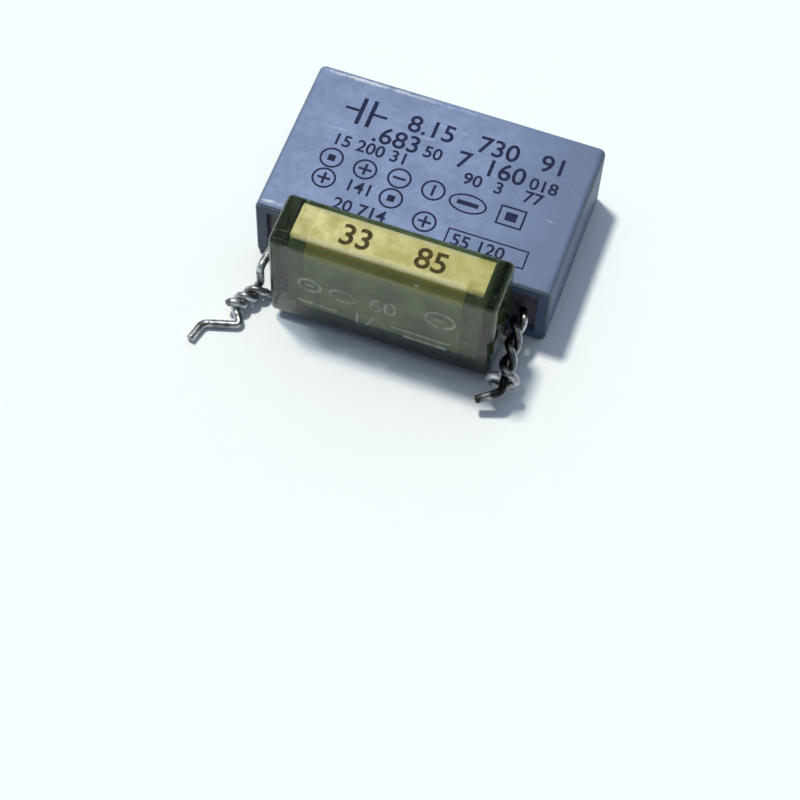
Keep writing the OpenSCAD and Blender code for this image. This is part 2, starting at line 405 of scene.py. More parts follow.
    def surface(self, shader: bpy.types.Node, colour: Value, roughness: Value, normal: Value) -> None:
        """Feeds a shader's colour, roughness and normal."""
        self.fill(shader, {"Base Color": colour, "Roughness": roughness, "Normal": normal})


class Effect:
    """A shader node group that several finishes share, built once."""

    title = ""
    takes: dict[str, SocketKind] = {}
    gives: dict[str, SocketKind] = {}

    def wire(self, board: NodeBoard, given: Any, out: Any) -> None:
        """Builds the effect between the group's inputs and outputs."""
        raise NotImplementedError

    def tree(self) -> bpy.types.NodeTree:
        """Finds the group, or builds it.

        Returns:
            The group's node tree.
        """
        found = bpy.data.node_groups.get(self.title)
        if found:
            return found
        tree = bpy.data.node_groups.new(self.title, "ShaderNodeTree")
        for name, kind in self.takes.items():
            tree.interface.new_socket(name, in_out="INPUT", socket_type=kind.value)
        for name, kind in self.gives.items():
            tree.interface.new_socket(name, in_out="OUTPUT", socket_type=kind.value)
        board = NodeBoard(tree)
        given = board.add("NodeGroupInput").outputs
        self.wire(board, given, board.add("NodeGroupOutput").inputs)
        return tree

    def place(self, board: NodeBoard, **inputs: Value) -> Any:
        """Places the effect in a finish, with its own values, and returns its outputs."""
        return board.add("ShaderNodeGroup", inputs, node_tree=self.tree()).outputs


class Grain(Effect):
    """Fine relief at two scales."""

    title = "grain"
    takes = {"Scale": VALUE, "Stretch": VECTOR}
    gives = {"Height": VALUE}
    COARSE_SCALE = 0.22
    COARSE_DETAIL = 1.0
    FINE_DETAIL = 3.0
    FINE_SHARE = 0.5

    def wire(self, board: NodeBoard, given: Any, out: Any) -> None:
        """Mixes a fine noise with a coarse one.

        Args:
            board: The group's nodes.
            given: Its inputs.
            out: Its outputs.
        """
        place = board.vector("MULTIPLY", board.point(), given["Stretch"])
        fine = board.noise(place, given["Scale"], self.FINE_DETAIL)
        coarse_scale = board.math("MULTIPLY", given["Scale"], self.COARSE_SCALE)
        coarse = board.noise(place, coarse_scale, self.COARSE_DETAIL)
        board.feed(out["Height"], board.between(self.FINE_SHARE, coarse, fine))


class Mottle(Effect):
    """Clouds of two colours."""

    title = "mottle"
    takes = {"Light": COLOUR, "Dark": COLOUR, "Scale": VALUE}
    gives = {"Color": COLOUR, "Mask": VALUE}
    DETAIL = 4.0
    EDGE = (0.34, 0.66)

    def wire(self, board: NodeBoard, given: Any, out: Any) -> None:
        """Mixes the colours by a cloudy mask.

        Args:
            board: The group's nodes.
            given: Its inputs.
            out: Its outputs.
        """
        mask = board.ramp(board.noise(board.point(), given["Scale"], self.DETAIL), *self.EDGE)
        board.feed(out["Color"], board.blend(mask, given["Light"], given["Dark"]))
        board.feed(out["Mask"], mask)


class EdgeBand(Effect):
    """A broken band along the edges of a box."""

    title = "edge_band"
    takes = {"Middle": VECTOR, "Half": VECTOR, "Reach": VALUE, "Break": VALUE}
    gives = {"Mask": VALUE, "Depth": VALUE}
    BREAK_SCALE = 2.4
    DETAIL = 3.0
    MEAN = 0.5

    def wire(self, board: NodeBoard, given: Any, out: Any) -> None:
        """Finds the distance to the nearest edge and breaks the band up.

        Args:
            board: The group's nodes.
            given: Its inputs.
            out: Its outputs.
        """
        place = board.point()
        offset = board.vector("ABSOLUTE", board.vector("SUBTRACT", place, given["Middle"]))
        x, y, z = board.parts(board.vector("SUBTRACT", offset, given["Half"]))
        first = board.math("MINIMUM", x, y)
        second = board.math("MINIMUM", board.math("MAXIMUM", x, y), z)
        edge = board.math("MAXIMUM", first, second)
        cloud = board.noise(place, self.BREAK_SCALE, self.DETAIL)
        shift = board.math("MULTIPLY", board.math("SUBTRACT", cloud, self.MEAN), given["Break"])
        depth = board.math("SUBTRACT", shift, edge)
        board.feed(out["Depth"], depth)
        board.feed(out["Mask"], board.rest(board.ramp(depth, 0.0, given["Reach"])))


class Dust(Effect):
    """Specks that lie on what faces up."""

    title = "dust"
    takes = {"Scale": VALUE, "Cover": VALUE}
    gives = {"Mask": VALUE}
    DETAIL = 2.0
    SOFT = 0.06
    FACES_UP = (0.2, 0.9)

    def wire(self, board: NodeBoard, given: Any, out: Any) -> None:
        """Keeps the peaks of a noise where the surface faces up.

        Args:
            board: The group's nodes.
            given: Its inputs.
            out: Its outputs.
        """
        speck = board.noise(board.point(), given["Scale"], self.DETAIL)
        limit = board.rest(given["Cover"])
        mask = board.ramp(speck, limit, board.math("ADD", limit, self.SOFT))
        upward = board.ramp(board.facing(Axis.Z), *self.FACES_UP)
        board.feed(out["Mask"], board.math("MULTIPLY", mask, upward))


class Scratches(Effect):
    """Thin lines or, with an even stretch, small spots."""

    title = "scratches"
    takes = {"Scale": VALUE, "Stretch": VECTOR, "Cover": VALUE}
    gives = {"Mask": VALUE}
    DETAIL = 2.0
    SOFT = 0.05

    def wire(self, board: NodeBoard, given: Any, out: Any) -> None:
        """Keeps the peaks of a stretched noise.

        Args:
            board: The group's nodes.
            given: Its inputs.
            out: Its outputs.
        """
        place = board.vector("MULTIPLY", board.point(), given["Stretch"])
        line = board.noise(place, given["Scale"], self.DETAIL)
        limit = board.rest(given["Cover"])
        board.feed(out["Mask"], board.ramp(line, limit, board.math("ADD", limit, self.SOFT)))


class Crevice(Effect):
    """A mask that fades with the distance from a line, such as the axis of two twisted wires."""

    title = "twist_shade"
    takes = {"Start": VECTOR, "Axis": VECTOR, "Inner": VALUE, "Outer": VALUE}
    gives = {"Mask": VALUE}

    def wire(self, board: NodeBoard, given: Any, out: Any) -> None:
        """Fades with the distance from the line.

        Args:
            board: The group's nodes.
            given: Its inputs.
            out: Its outputs.
        """
        offset = board.vector("SUBTRACT", board.point(), given["Start"])
        away = board.distance(offset, board.vector("PROJECT", offset, given["Axis"]))
        board.feed(out["Mask"], board.rest(board.ramp(away, given["Inner"], given["Outer"])))


GRAIN, MOTTLE, EDGE_BAND = Grain(), Mottle(), EdgeBand()
DUST, SCRATCHES, CREVICE = Dust(), Scratches(), Crevice()


@dataclass(frozen=True)
class Finish:
    """The finish of one material."""

    name: str

    def paint(self, board: NodeBoard, shader: bpy.types.Node) -> None:
        """Sets the shader's sockets and adds the finish's nodes."""
        raise NotImplementedError

    def material(self) -> bpy.types.Material:
        """Makes the material.

        Returns:
            The new material, with a Principled shader.
        """
        material = bpy.data.materials.new(self.name)
        material.use_nodes = True
        board = NodeBoard(material.node_tree)
        self.paint(board, material.node_tree.nodes["Principled BSDF"])
        return material


@dataclass(frozen=True)
class MouldedPlastic(Finish):
    """Blue-grey moulded plastic: painted shade darkening it to the right, a darker band along its edges, a
    painted highlight beside its long edges, scuffs, dust, and painted shade on the left of its lead side.
    """

    case: Extent
    light: Colour = srgb(135, 156, 196)
    dark: Colour = srgb(121, 142, 180)
    # This darker blue is painted shade towards the right end, and also the darker tone of the grain.
    grain_and_shade_blue: Colour = srgb(97, 115, 146)
    # This pale colour is the scuffs, and also a painted highlight beside the long edges.
    pale_wear_and_highlight: Colour = srgb(214, 222, 234)
    darkening: Colour = srgb(82, 94, 96)
    dust: Colour = srgb(205, 208, 212)
    # Painted shade on the left half of the lead side.
    lead_side_shade: Colour = srgb(48, 52, 56)
    cloud_scale: float = 0.45
    right_shade_share: float = 0.8
    grain_scale: float = 9.0
    grain_depth: float = 0.045
    grain_edge: Pair = (0.35, 0.65)
    grain_share: float = 0.35
    rim_reach: float = 0.3
    rim_break: float = 0.15
    rim_share: float = 0.85
    line_break: float = 0.3
    line_rise: Pair = (0.28, 0.4)
    line_fall: Pair = (0.42, 0.6)
    line_start: float = 0.8
    line_share: float = 1.0
    gap_scale: float = 1.3
    gap_detail: float = 3.0
    gap_edge: Pair = (0.36, 0.58)
    scuff_scale: float = 1.1
    scuff_stretch: Triple = (0.35, 3.0, 3.0)
    scuff_cover: float = 0.3
    scuff_share: float = 0.22
    scuff_rough: float = 0.12
    dust_scale: float = 5.5
    dust_cover: float = 0.27
    dust_share: float = 0.4
    lead_side_facing: Pair = (0.6, 0.95)
    lead_side_shade_share: float = 0.6
    roughness: Pair = (0.36, 0.56)
    gloss: float = 0.3

    def edge_highlight_line(self, board: NodeBoard, along: Socket) -> Socket:
        """Finds the pale broken line of painted highlight beside the long edges, most of all at the left.

        Args:
            board: The material's nodes.
            along: The place along the box.

        Returns:
            The line's mask.
        """
        middle, half, left = self.case.middle, self.case.half, self.case.low.x
        long_edges = {"Middle": middle, "Half": half + Vector((half.x, 0, 0))}
        depth = EDGE_BAND.place(board, **long_edges, Reach=self.rim_reach, Break=self.line_break)["Depth"]
        line = board.band(depth, self.line_rise, self.line_fall)
        highlight_span = board.band(along, (left, left + self.line_start), (left, middle.x + half.x / 2))
        gaps = board.ramp(board.noise(board.point(), self.gap_scale, self.gap_detail), *self.gap_edge)
        return board.math("MULTIPLY", line, board.math("MULTIPLY", highlight_span, gaps))

    def shaded_lead_side(self, board: NodeBoard, along: Socket) -> Socket:
        """Finds the painted shade on the left half of the lead side.

        Args:
            board: The material's nodes.
            along: The place along the box.

        Returns:
            The dirt's mask.
        """
        forward = board.math("MULTIPLY", board.facing(Axis.Y), -1.0)
        lead_side = board.ramp(forward, *self.lead_side_facing)
        unshaded = board.ramp(along, self.case.low.x, self.case.middle.x)
        return board.math("MULTIPLY", lead_side, board.rest(unshaded))

    def paint(self, board: NodeBoard, shader: bpy.types.Node) -> None:
        """Lays painted shade towards the right, grain tone, a darker edge band, a painted edge highlight,
        scuffs, dust and painted shade on the lead side over clouds of two blues.

        Args:
            board: The material's nodes.
            shader: Its Principled shader.
        """
        along = board.along(Axis.X)
        clouds = MOTTLE.place(board, Light=self.light, Dark=self.dark, Scale=self.cloud_scale)["Color"]
        grain = GRAIN.place(board, Scale=self.grain_scale, Stretch=EVEN)["Height"]
        edges = {"Middle": self.case.middle, "Half": self.case.half}
        rim = EDGE_BAND.place(board, **edges, Reach=self.rim_reach, Break=self.rim_break)["Mask"]
        strokes = {"Scale": self.scuff_scale, "Stretch": self.scuff_stretch}
        scuffs = SCRATCHES.place(board, **strokes, Cover=self.scuff_cover)["Mask"]
        dust = DUST.place(board, Scale=self.dust_scale, Cover=self.dust_cover)["Mask"]
        colour = board.coated(
            clouds,
            # Painted shade: darker towards the right end.
            (self.grain_and_shade_blue, board.ramp(along, self.case.middle.x, self.case.high.x), self.right_shade_share),
            (self.grain_and_shade_blue, board.ramp(grain, *self.grain_edge), self.grain_share),
            # A darker band along every edge.
            (self.darkening, rim, self.rim_share),
            # Painted highlight: a pale broken line beside the long edges.
            (self.pale_wear_and_highlight, self.edge_highlight_line(board, along), self.line_share),
            (self.pale_wear_and_highlight, scuffs, self.scuff_share),
            (self.dust, dust, self.dust_share),
            # Painted shade on the left half of the lead side.
            (self.lead_side_shade, self.shaded_lead_side(board, along), self.lead_side_shade_share),
        )
        rough = board.math("MULTIPLY_ADD", scuffs, self.scuff_rough, board.between(grain, *self.roughness))
        board.surface(shader, colour, rough, board.bump(grain, self.grain_depth))
        board.fill(shader, {"Specular IOR Level": self.gloss})


@dataclass(frozen=True)
class PottingResin(Finish):
    """Cast resin that closes the box: reddish grey, uneven, with small bubbles."""

    light: Colour = srgb(140, 126, 138)
    dark: Colour = srgb(112, 102, 116)
    bubble: Colour = srgb(70, 64, 74)
    cloud_scale: float = 0.8
    bubble_scale: float = 3.4
    bubble_cover: float = 0.33
    ripple_scale: float = 1.6
    ripple_depth: float = 0.06
    roughness: Pair = (0.28, 0.5)

    def paint(self, board: NodeBoard, shader: bpy.types.Node) -> None:
        """Mixes clouds, bubbles and a slow ripple.

        Args:
            board: The material's nodes.
            shader: Its Principled shader.
        """
        clouds = MOTTLE.place(board, Light=self.light, Dark=self.dark, Scale=self.cloud_scale)
        spots = {"Scale": self.bubble_scale, "Stretch": EVEN, "Cover": self.bubble_cover}
        bubbles = SCRATCHES.place(board, **spots)["Mask"]
        ripple = GRAIN.place(board, Scale=self.ripple_scale, Stretch=EVEN)["Height"]
        colour = board.blend(bubbles, clouds["Color"], self.bubble)
        normal = board.bump(board.math("SUBTRACT", ripple, bubbles), self.ripple_depth)
        board.surface(shader, colour, board.between(clouds["Mask"], *self.roughness), normal)


@dataclass(frozen=True)
class TinnedWire(Finish):
    """Aged tin on copper wire: bright in places, dull where it has tarnished, with painted shade on the side
    of one twist that faces the block and on one cut tip.
    """

    dark_twist: Twist
    dark_tip: Vector
    bright: Colour = srgb(200, 203, 209)
    dull: Colour = srgb(118, 121, 124)
    stain: Colour = srgb(46, 46, 45)
    # The dark of the painted shade in the twist beside the block and at the free end's tip.
    darkening: Colour = srgb(26, 27, 29)
    cloud_scale: float = 1.3
    stain_scale: float = 2.1
    stain_cover: float = 0.42
    stain_share: float = 0.65
    stain_rough: float = 0.15
    dark_side: float = 0.2
    dark_inner: float = 0.42
    dark_outer: float = 0.64
    dark_share: float = 0.92
    tip_shade_reach: Pair = (0.15, 0.7)
    grain_scale: float = 7.0
    grain_depth: float = 0.02
    roughness: Pair = (0.3, 0.46)

    def paint(self, board: NodeBoard, shader: bpy.types.Node) -> None:
        """Mixes bright and dull tin, stains, small pits, and painted shade in the twist beside the block and
        on one tip.

        Args:
            board: The material's nodes.
            shader: Its Principled shader.
        """
        clouds = MOTTLE.place(board, Light=self.bright, Dark=self.dull, Scale=self.cloud_scale)["Color"]
        stains = SCRATCHES.place(board, Scale=self.stain_scale, Stretch=EVEN, Cover=self.stain_cover)["Mask"]
        # Painted shade: dark on the side of the right twist that faces the block, which shades it.
        start = self.dark_twist.start + self.dark_side * self.dark_twist.inner
        line = {"Start": start, "Axis": self.dark_twist.axis}
        twist_shade = CREVICE.place(board, **line, Inner=self.dark_inner, Outer=self.dark_outer)["Mask"]
        coats = ((self.stain, stains, self.stain_share), (self.darkening, twist_shade, self.dark_share))
        # Painted shade on the free end's cut tip.
        unshaded = board.ramp(board.distance(board.point(), self.dark_tip), *self.tip_shade_reach)
        colour = board.blend(unshaded, self.darkening, board.coated(clouds, *coats))
        grain = GRAIN.place(board, Scale=self.grain_scale, Stretch=EVEN)["Height"]
        rough = board.math("MULTIPLY_ADD", stains, self.stain_rough, board.between(grain, *self.roughness))
        board.surface(shader, colour, rough, board.bump(grain, self.grain_depth))
        board.fill(shader, {"Metallic": 1.0})


@dataclass(frozen=True)
class ClearResin(Finish):
    """Clear cast resin, tinted greenish amber, that light passes through, less so at its right end."""

    block: Extent
    tint: Colour = (0.97, 0.985, 0.9, 1.0)
    shade: Colour = (0.44, 0.49, 0.72, 1.0)
    right_shade: Colour = (0.1, 0.11, 0.14, 1.0)
    depth_tint: Colour = (0.68, 0.735, 0.61, 1.0)
    depth_density: float = 430.0
    ior: float = 1.45
    smear_scale: float = 0.9
    smear_depth: float = 0.03
    roughness: Pair = (0.0, 0.1)

    def paint(self, board: NodeBoard, shader: bpy.types.Node) -> None:
        """Makes tinted glass with faint smears and lets lamps shine through it.

        Args:
            board: The material's nodes.
            shader: Its Principled shader.
        """
        smears = GRAIN.place(board, Scale=self.smear_scale, Stretch=EVEN)["Height"]
        normal = board.bump(smears, self.smear_depth)
        board.surface(shader, self.tint, board.between(smears, *self.roughness), normal)
        board.fill(shader, {"IOR": self.ior, "Transmission Weight": 1.0})
        shade = board.blend(board.across(self.block, Axis.X), self.shade, self.right_shade)
        leaving = board.add("ShaderNodeNewGeometry").outputs["Backfacing"]
        passing = board.add("ShaderNodeBsdfTransparent", {"Color": board.blend(leaving, shade, self.tint)})
        path = board.add("ShaderNodeLightPath").outputs
        straight = board.math("MAXIMUM", path["Is Shadow Ray"], path["Is Diffuse Ray"])
        mixed = board.either(straight, shader.outputs["BSDF"], passing.outputs["BSDF"])
        inside = {"Color": self.depth_tint, "Density": self.depth_density}
        depth = board.add("ShaderNodeVolumeAbsorption", inside).outputs["Volume"]
        board.fill(board.tree.nodes["Material Output"], {"Surface": mixed, "Volume": depth})


@dataclass(frozen=True)
class ResinSeam(Finish):
    """The resin's inner wall, which clings to the roll and so doesn't show."""

    tint: Colour = (0.97, 0.99, 0.93, 1.0)

    def paint(self, board: NodeBoard, shader: bpy.types.Node) -> None:
        """Leaves the wall clear."""
        board.fill(shader, {"Base Color": self.tint, "Alpha": 0.0})


@dataclass(frozen=True)
class CastUnderside(Finish):
    """The block's cast underside: dull and dirty, and darkened towards its right end as painted shade."""

    block: Extent
    dirty: Colour = srgb(98, 106, 120)
    dark: Colour = srgb(70, 76, 88)
    right_painted_shade: Colour = srgb(30, 34, 42)
    cloud_scale: float = 1.4
    grain_scale: float = 3.0
    grain_depth: float = 0.04
    roughness: Pair = (0.6, 0.8)

    def paint(self, board: NodeBoard, shader: bpy.types.Node) -> None:
        """Mixes dirty clouds over a fine grain, and darkens the right end as painted shade.

        Args:
            board: The material's nodes.
            shader: Its Principled shader.
        """
        clouds = MOTTLE.place(board, Light=self.dirty, Dark=self.dark, Scale=self.cloud_scale)
        grain = GRAIN.place(board, Scale=self.grain_scale, Stretch=EVEN)["Height"]
        # Painted shade: darker towards the right end.
        colour = board.blend(board.across(self.block, Axis.X), clouds["Color"], self.right_painted_shade)
        rough = board.between(clouds["Mask"], *self.roughness)
        board.surface(shader, colour, rough, board.bump(grain, self.grain_depth))


@dataclass(frozen=True)
class MetallisedPaper(Finish):
    """Pressed paper roll: yellow on top, with darker olive sides as painted shade, painted highlights along
    its top edges, and darker towards its right end.
    """

    roll: Extent
    light: Colour = srgb(226, 219, 166)
    dark: Colour = srgb(182, 174, 108)
    # Painted highlight colours along the front and the back top edges.
    front_edge_highlight: Colour = srgb(240, 236, 202)
    grey: Colour = srgb(199, 198, 172)
    # The sides' colours, whose darkness against the top is painted shade.
    side_light: Colour = srgb(140, 162, 112)
    side_dark: Colour = srgb(106, 128, 86)
    shoulder: Colour = srgb(226, 204, 88)
    shoulder_h: float = 1.5
    top_scale: float = 1.1
    side_scale: float = 0.6
    rightward_share: float = 0.75
    edge_reach: float = 0.5
    edge_break: float = 0.5
    edge_highlight_share: float = 0.85
    crease_scale: float = 2.2
    crease_stretch: Triple = (0.4, 1.0, 1.0)
    crease_depth: float = 0.12
    roughness: Pair = (0.45, 0.75)

    def paint(self, board: NodeBoard, shader: bpy.types.Node) -> None:
        """Mixes wrinkled clouds with painted edge highlights on top, and darker olive sides as painted shade.

        Args:
            board: The material's nodes.
            shader: Its Principled shader.
        """
        edges = {"Middle": self.roll.middle, "Half": self.roll.half}
        # Painted highlights along the top edges, paler at the front and greyer at the back.
        edge = EDGE_BAND.place(board, **edges, Reach=self.edge_reach, Break=self.edge_break)["Mask"]
        edge_highlight = board.blend(board.across(self.roll, Axis.Y), self.front_edge_highlight, self.grey)
        # Darker towards the right end.
        rightward = board.across(self.roll, Axis.X)
        yellow = MOTTLE.place(board, Light=self.light, Dark=self.dark, Scale=self.top_scale)["Color"]
        yellow = board.coated(yellow, (self.dark, rightward, self.rightward_share), (edge_highlight, edge, self.edge_highlight_share))
        # Painted shade: the sides are darker olive than the top, easing up to a yellower shoulder below the
        # top edge.
        greens = {"Light": self.side_light, "Dark": self.side_dark}
        shaded_sides = MOTTLE.place(board, **greens, Scale=self.side_scale)["Color"]
        top = self.roll.high.z
        shaded_sides = board.blend(board.ramp(board.along(Axis.Z), top - self.shoulder_h, top), shaded_sides, self.shoulder)
        creases = GRAIN.place(board, Scale=self.crease_scale, Stretch=self.crease_stretch)["Height"]
        rough = board.between(creases, *self.roughness)
        board.surface(shader, board.topped(shaded_sides, yellow), rough, board.bump(creases, self.crease_depth))


@dataclass(frozen=True)
class SprayedMetal(Finish):
    """Metal sprayed on a roll's end: coarse and pale where it faces up, with sides darkened as painted shade.
    """

    top_light: Colour = srgb(219, 212, 162)
    top_dark: Colour = srgb(187, 179, 119)
    side_light: Colour = srgb(104, 124, 80)
    side_dark: Colour = srgb(78, 96, 58)
    top_scale: float = 1.6
    side_scale: float = 2.4
    grain_scale: float = 8.0
    grain_depth: float = 0.1
    roughness: Pair = (0.5, 0.8)

    def paint(self, board: NodeBoard, shader: bpy.types.Node) -> None:
        """Mixes a pale top with sides darkened as painted shade, under a coarse grain.

        Args:
            board: The material's nodes.
            shader: Its Principled shader.
        """
        pale = MOTTLE.place(board, Light=self.top_light, Dark=self.top_dark, Scale=self.top_scale)["Color"]
        dark = MOTTLE.place(board, Light=self.side_light, Dark=self.side_dark, Scale=self.side_scale)["Color"]
        grain = GRAIN.place(board, Scale=self.grain_scale, Stretch=EVEN)["Height"]
        rough = board.between(grain, *self.roughness)
        # Painted shade: the sides are darker than the top.
        board.surface(shader, board.topped(dark, pale), rough, board.bump(grain, self.grain_depth))


@dataclass(frozen=True)
class MetallisedFilm(Finish):
    """Wound film with a thin metal layer: silvery, with fine lines along the roll."""

    light: Colour = srgb(206, 209, 214)
    dark: Colour = srgb(170, 174, 182)
    cloud_scale: float = 0.7
    line_scale: float = 6.0
    line_stretch: Triple = (0.1, 1.0, 1.0)
    line_depth: float = 0.03
    roughness: Pair = (0.2, 0.45)

    def paint(self, board: NodeBoard, shader: bpy.types.Node) -> None:
        """Mixes silver clouds and fine winding lines.

        Args:
            board: The material's nodes.
            shader: Its Principled shader.
        """
        clouds = MOTTLE.place(board, Light=self.light, Dark=self.dark, Scale=self.cloud_scale)["Color"]
        lines = GRAIN.place(board, Scale=self.line_scale, Stretch=self.line_stretch)["Height"]
        rough = board.between(lines, *self.roughness)
        board.surface(shader, clouds, rough, board.bump(lines, self.line_depth))
        board.fill(shader, {"Metallic": 1.0})


@dataclass(frozen=True)
class PatchyLayer(Finish):
    """Ink, or the dull face of resin, that has thinned in places, so that what is under it shows."""

    full: Colour
    thin: Colour
    gloss: float = 0.15
    cloud_scale: float = 2.6
    gap_scale: float = 6.0
    gap_cover: float = 0.36
    gap_share: float = 0.7
    roughness: Pair = (0.5, 0.7)

    def paint(self, board: NodeBoard, shader: bpy.types.Node) -> None:
        """Mixes the full layer and the thin one.

        Args:
            board: The material's nodes.
            shader: Its Principled shader.
        """
        clouds = MOTTLE.place(board, Light=self.full, Dark=self.thin, Scale=self.cloud_scale)
        gaps = SCRATCHES.place(board, Scale=self.gap_scale, Stretch=EVEN, Cover=self.gap_cover)["Mask"]
        colour = board.coated(clouds["Color"], (self.thin, gaps, self.gap_share))
        rough = board.between(clouds["Mask"], *self.roughness)
        board.fill(shader, {"Base Color": colour, "Roughness": rough, "Specular IOR Level": self.gloss})


@dataclass(frozen=True)
class FloorPaper(Finish):
    """The pale matt sheet that the pair lies on."""

    light: Colour = (0.92, 0.988, 1.0, 1.0)
    dark: Colour = (0.914, 0.982, 0.994, 1.0)
    bounce: Colour = (0.4, 0.42, 0.46, 1.0)
    cloud_scale: float = 0.5
    tooth_scale: float = 4.0
    tooth_depth: float = 0.01
    roughness: Pair = (0.85, 0.95)
    gloss: float = 0.1

    def paint(self, board: NodeBoard, shader: bpy.types.Node) -> None:
        """Mixes two near whites over a fine tooth, and sends less light back to the pair.

        Args:
            board: The material's nodes.
            shader: Its Principled shader.
        """
        clouds = MOTTLE.place(board, Light=self.light, Dark=self.dark, Scale=self.cloud_scale)["Color"]
        sent = board.add("ShaderNodeLightPath").outputs["Is Diffuse Ray"]
        tooth = GRAIN.place(board, Scale=self.tooth_scale, Stretch=EVEN)["Height"]
        rough = board.between(tooth, *self.roughness)
        colour = board.blend(sent, clouds, self.bounce)
        board.surface(shader, colour, rough, board.bump(tooth, self.tooth_depth))
        board.fill(shader, {"Specular IOR Level": self.gloss})


def in_scene(name: str, data: bpy.types.ID) -> bpy.types.Object:
    """Puts a mesh, a curve, a lamp or a camera in the scene.

    Args:
        name: The new object's name.
        data: What it holds.

    Returns:
        The new object.
    """
    thing = bpy.data.objects.new(name, data)
    bpy.context.scene.collection.objects.link(thing)
    return thing


def mesh_of(shape: Shape, sharp_angle: float = SHARP_ANGLE) -> bpy.types.Mesh:
    """Turns a shape in millimetres into a smooth mesh in metres, and frees the shape.

    Args:
        shape: The shape.
        sharp_angle: Edges bent by more than this, in degrees, stay sharp.

    Returns:
        The new mesh.
    """
    bmesh.ops.recalc_face_normals(shape, faces=shape.faces)
    for face in shape.faces:
        face.smooth = True
    for edge in shape.edges:
        edge.smooth = edge.calc_face_angle(math.pi) < math.radians(sharp_angle)
    bmesh.ops.scale(shape, vec=(MM, MM, MM), verts=shape.verts)
    mesh = bpy.data.meshes.new("mesh")
    shape.to_mesh(mesh)
    shape.free()
    return mesh


def add_piece(
    name: str, mesh: bpy.types.Mesh, materials: Iterable[bpy.types.Material]
) -> bpy.types.Object:
    """Puts a mesh in the scene as a piece of the pair.

    Args:
        name: The piece's name.
        mesh: Its mesh, in metres.
        materials: The materials of its faces, in the order of their numbers.

    Returns:
        The new object, which rides on the pair.
    """
    mesh.name = name
    for material in materials:
        mesh.materials.append(material)
    piece = in_scene(name, mesh)
    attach(piece, BODY)
    return piece


def soft_shading() -> bpy.types.NodeTree:
    """Builds the modifier that shades a frame node smoothly between its sharp edges.

    Returns:
        A geometry node tree that leaves every point where it is.
    """
    tree = bpy.data.node_groups.new("soft_shading", "GeometryNodeTree")
    for way in ("INPUT", "OUTPUT"):
        tree.interface.new_socket("Geometry", in_out=way, socket_type="NodeSocketGeometry")
    board = NodeBoard(tree)
    given = board.add("NodeGroupInput").outputs["Geometry"]
    joined = board.add("GeometryNodeMergeByDistance", {"Geometry": given, "Distance": NODE_WELD_GAP})
    bare = board.add("GeometryNodeRemoveAttribute", {"Geometry": joined.outputs[0], "Name": "custom_normal"})
    smooth = board.add("GeometryNodeSetShadeSmooth", {"Geometry": bare.outputs[0]}, domain="FACE")
    angles = {
        "A": board.add("GeometryNodeInputMeshEdgeAngle").outputs["Unsigned Angle"],
        "B": math.radians(NODE_SHARP_ANGLE),
    }
    sharp = board.add("FunctionNodeCompare", angles, operation="GREATER_THAN")
    creased = {"Geometry": smooth.outputs[0], "Selection": sharp.outputs[0], "Shade Smooth": False}
    result = board.add("GeometryNodeSetShadeSmooth", creased, domain="EDGE").outputs[0]
    board.add("NodeGroupOutput", {"Geometry": result})
    return tree


def dress_node(name: str, material: bpy.types.Material, shading: bpy.types.NodeTree) -> bpy.types.Object:
    """Gives a frame node its material and smooth shading.

    Args:
        name: The node's name.
        material: Its material.
        shading: The shading modifier's nodes.

    Returns:
        The dressed node.
    """
    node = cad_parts[name]
    for slot in node.material_slots:
        slot.material = material
    node.modifiers.new("soft_shading", "NODES").node_group = shading
    node.modifiers.new("flat_faces", "WEIGHTED_NORMAL").keep_sharp = True
    return node


def bend(before: Vector, corner: Vector, after: Vector, cut: float, steps: int) -> list[Vector]:
    """Rounds a corner of a route.

    Args:
        before: The point before the corner.
        corner: The corner.
        after: The point after the corner.
        cut: How far from the corner the bend starts and ends.
        steps: The number of steps along the bend.

    Returns:
        The points of the bend.
    """
    start = corner + cut * (before - corner).normalized()
    end = corner + cut * (after - corner).normalized()
    shares = [i / steps for i in range(steps + 1)]
    return [start.lerp(corner, s).lerp(corner.lerp(end, s), s) for s in shares]


def bent(corners: Sequence[Vector], size: float, steps: int = 10) -> list[Vector]:
    """Makes a route through corner points, rounded at each inner corner.

    Args:
        corners: The corner points.
        size: How far from a corner its bend starts, where its legs have room.
        steps: The number of steps along each bend.

    Returns:
        The route's points.
    """
    route = [corners[0]]
    for before, corner, after in zip(corners, corners[1:], corners[2:]):
        cut = min(size, LEG_SHARE * (corner - before).length, LEG_SHARE * (after - corner).length)
        route += bend(before, corner, after, cut, steps)
    return [*route, corners[-1]]


def ease(share: float) -> float:
    """Goes smoothly from 0 to 1."""
    held = max(0.0, min(1.0, share))
    return held * held * (3 - 2 * held)


def join_rows(shape: Shape, first: Sequence[Vertex], second: Sequence[Vertex]) -> None:
    """Joins two closed rows of points by faces.

    Args:
        shape: The shape that holds them.
        first: The first row.
        second: The second row, with as many points.
    """
    for i in range(len(first)):
        k = (i + 1) % len(first)
        shape.faces.new((first[i], first[k], second[k], second[i]))


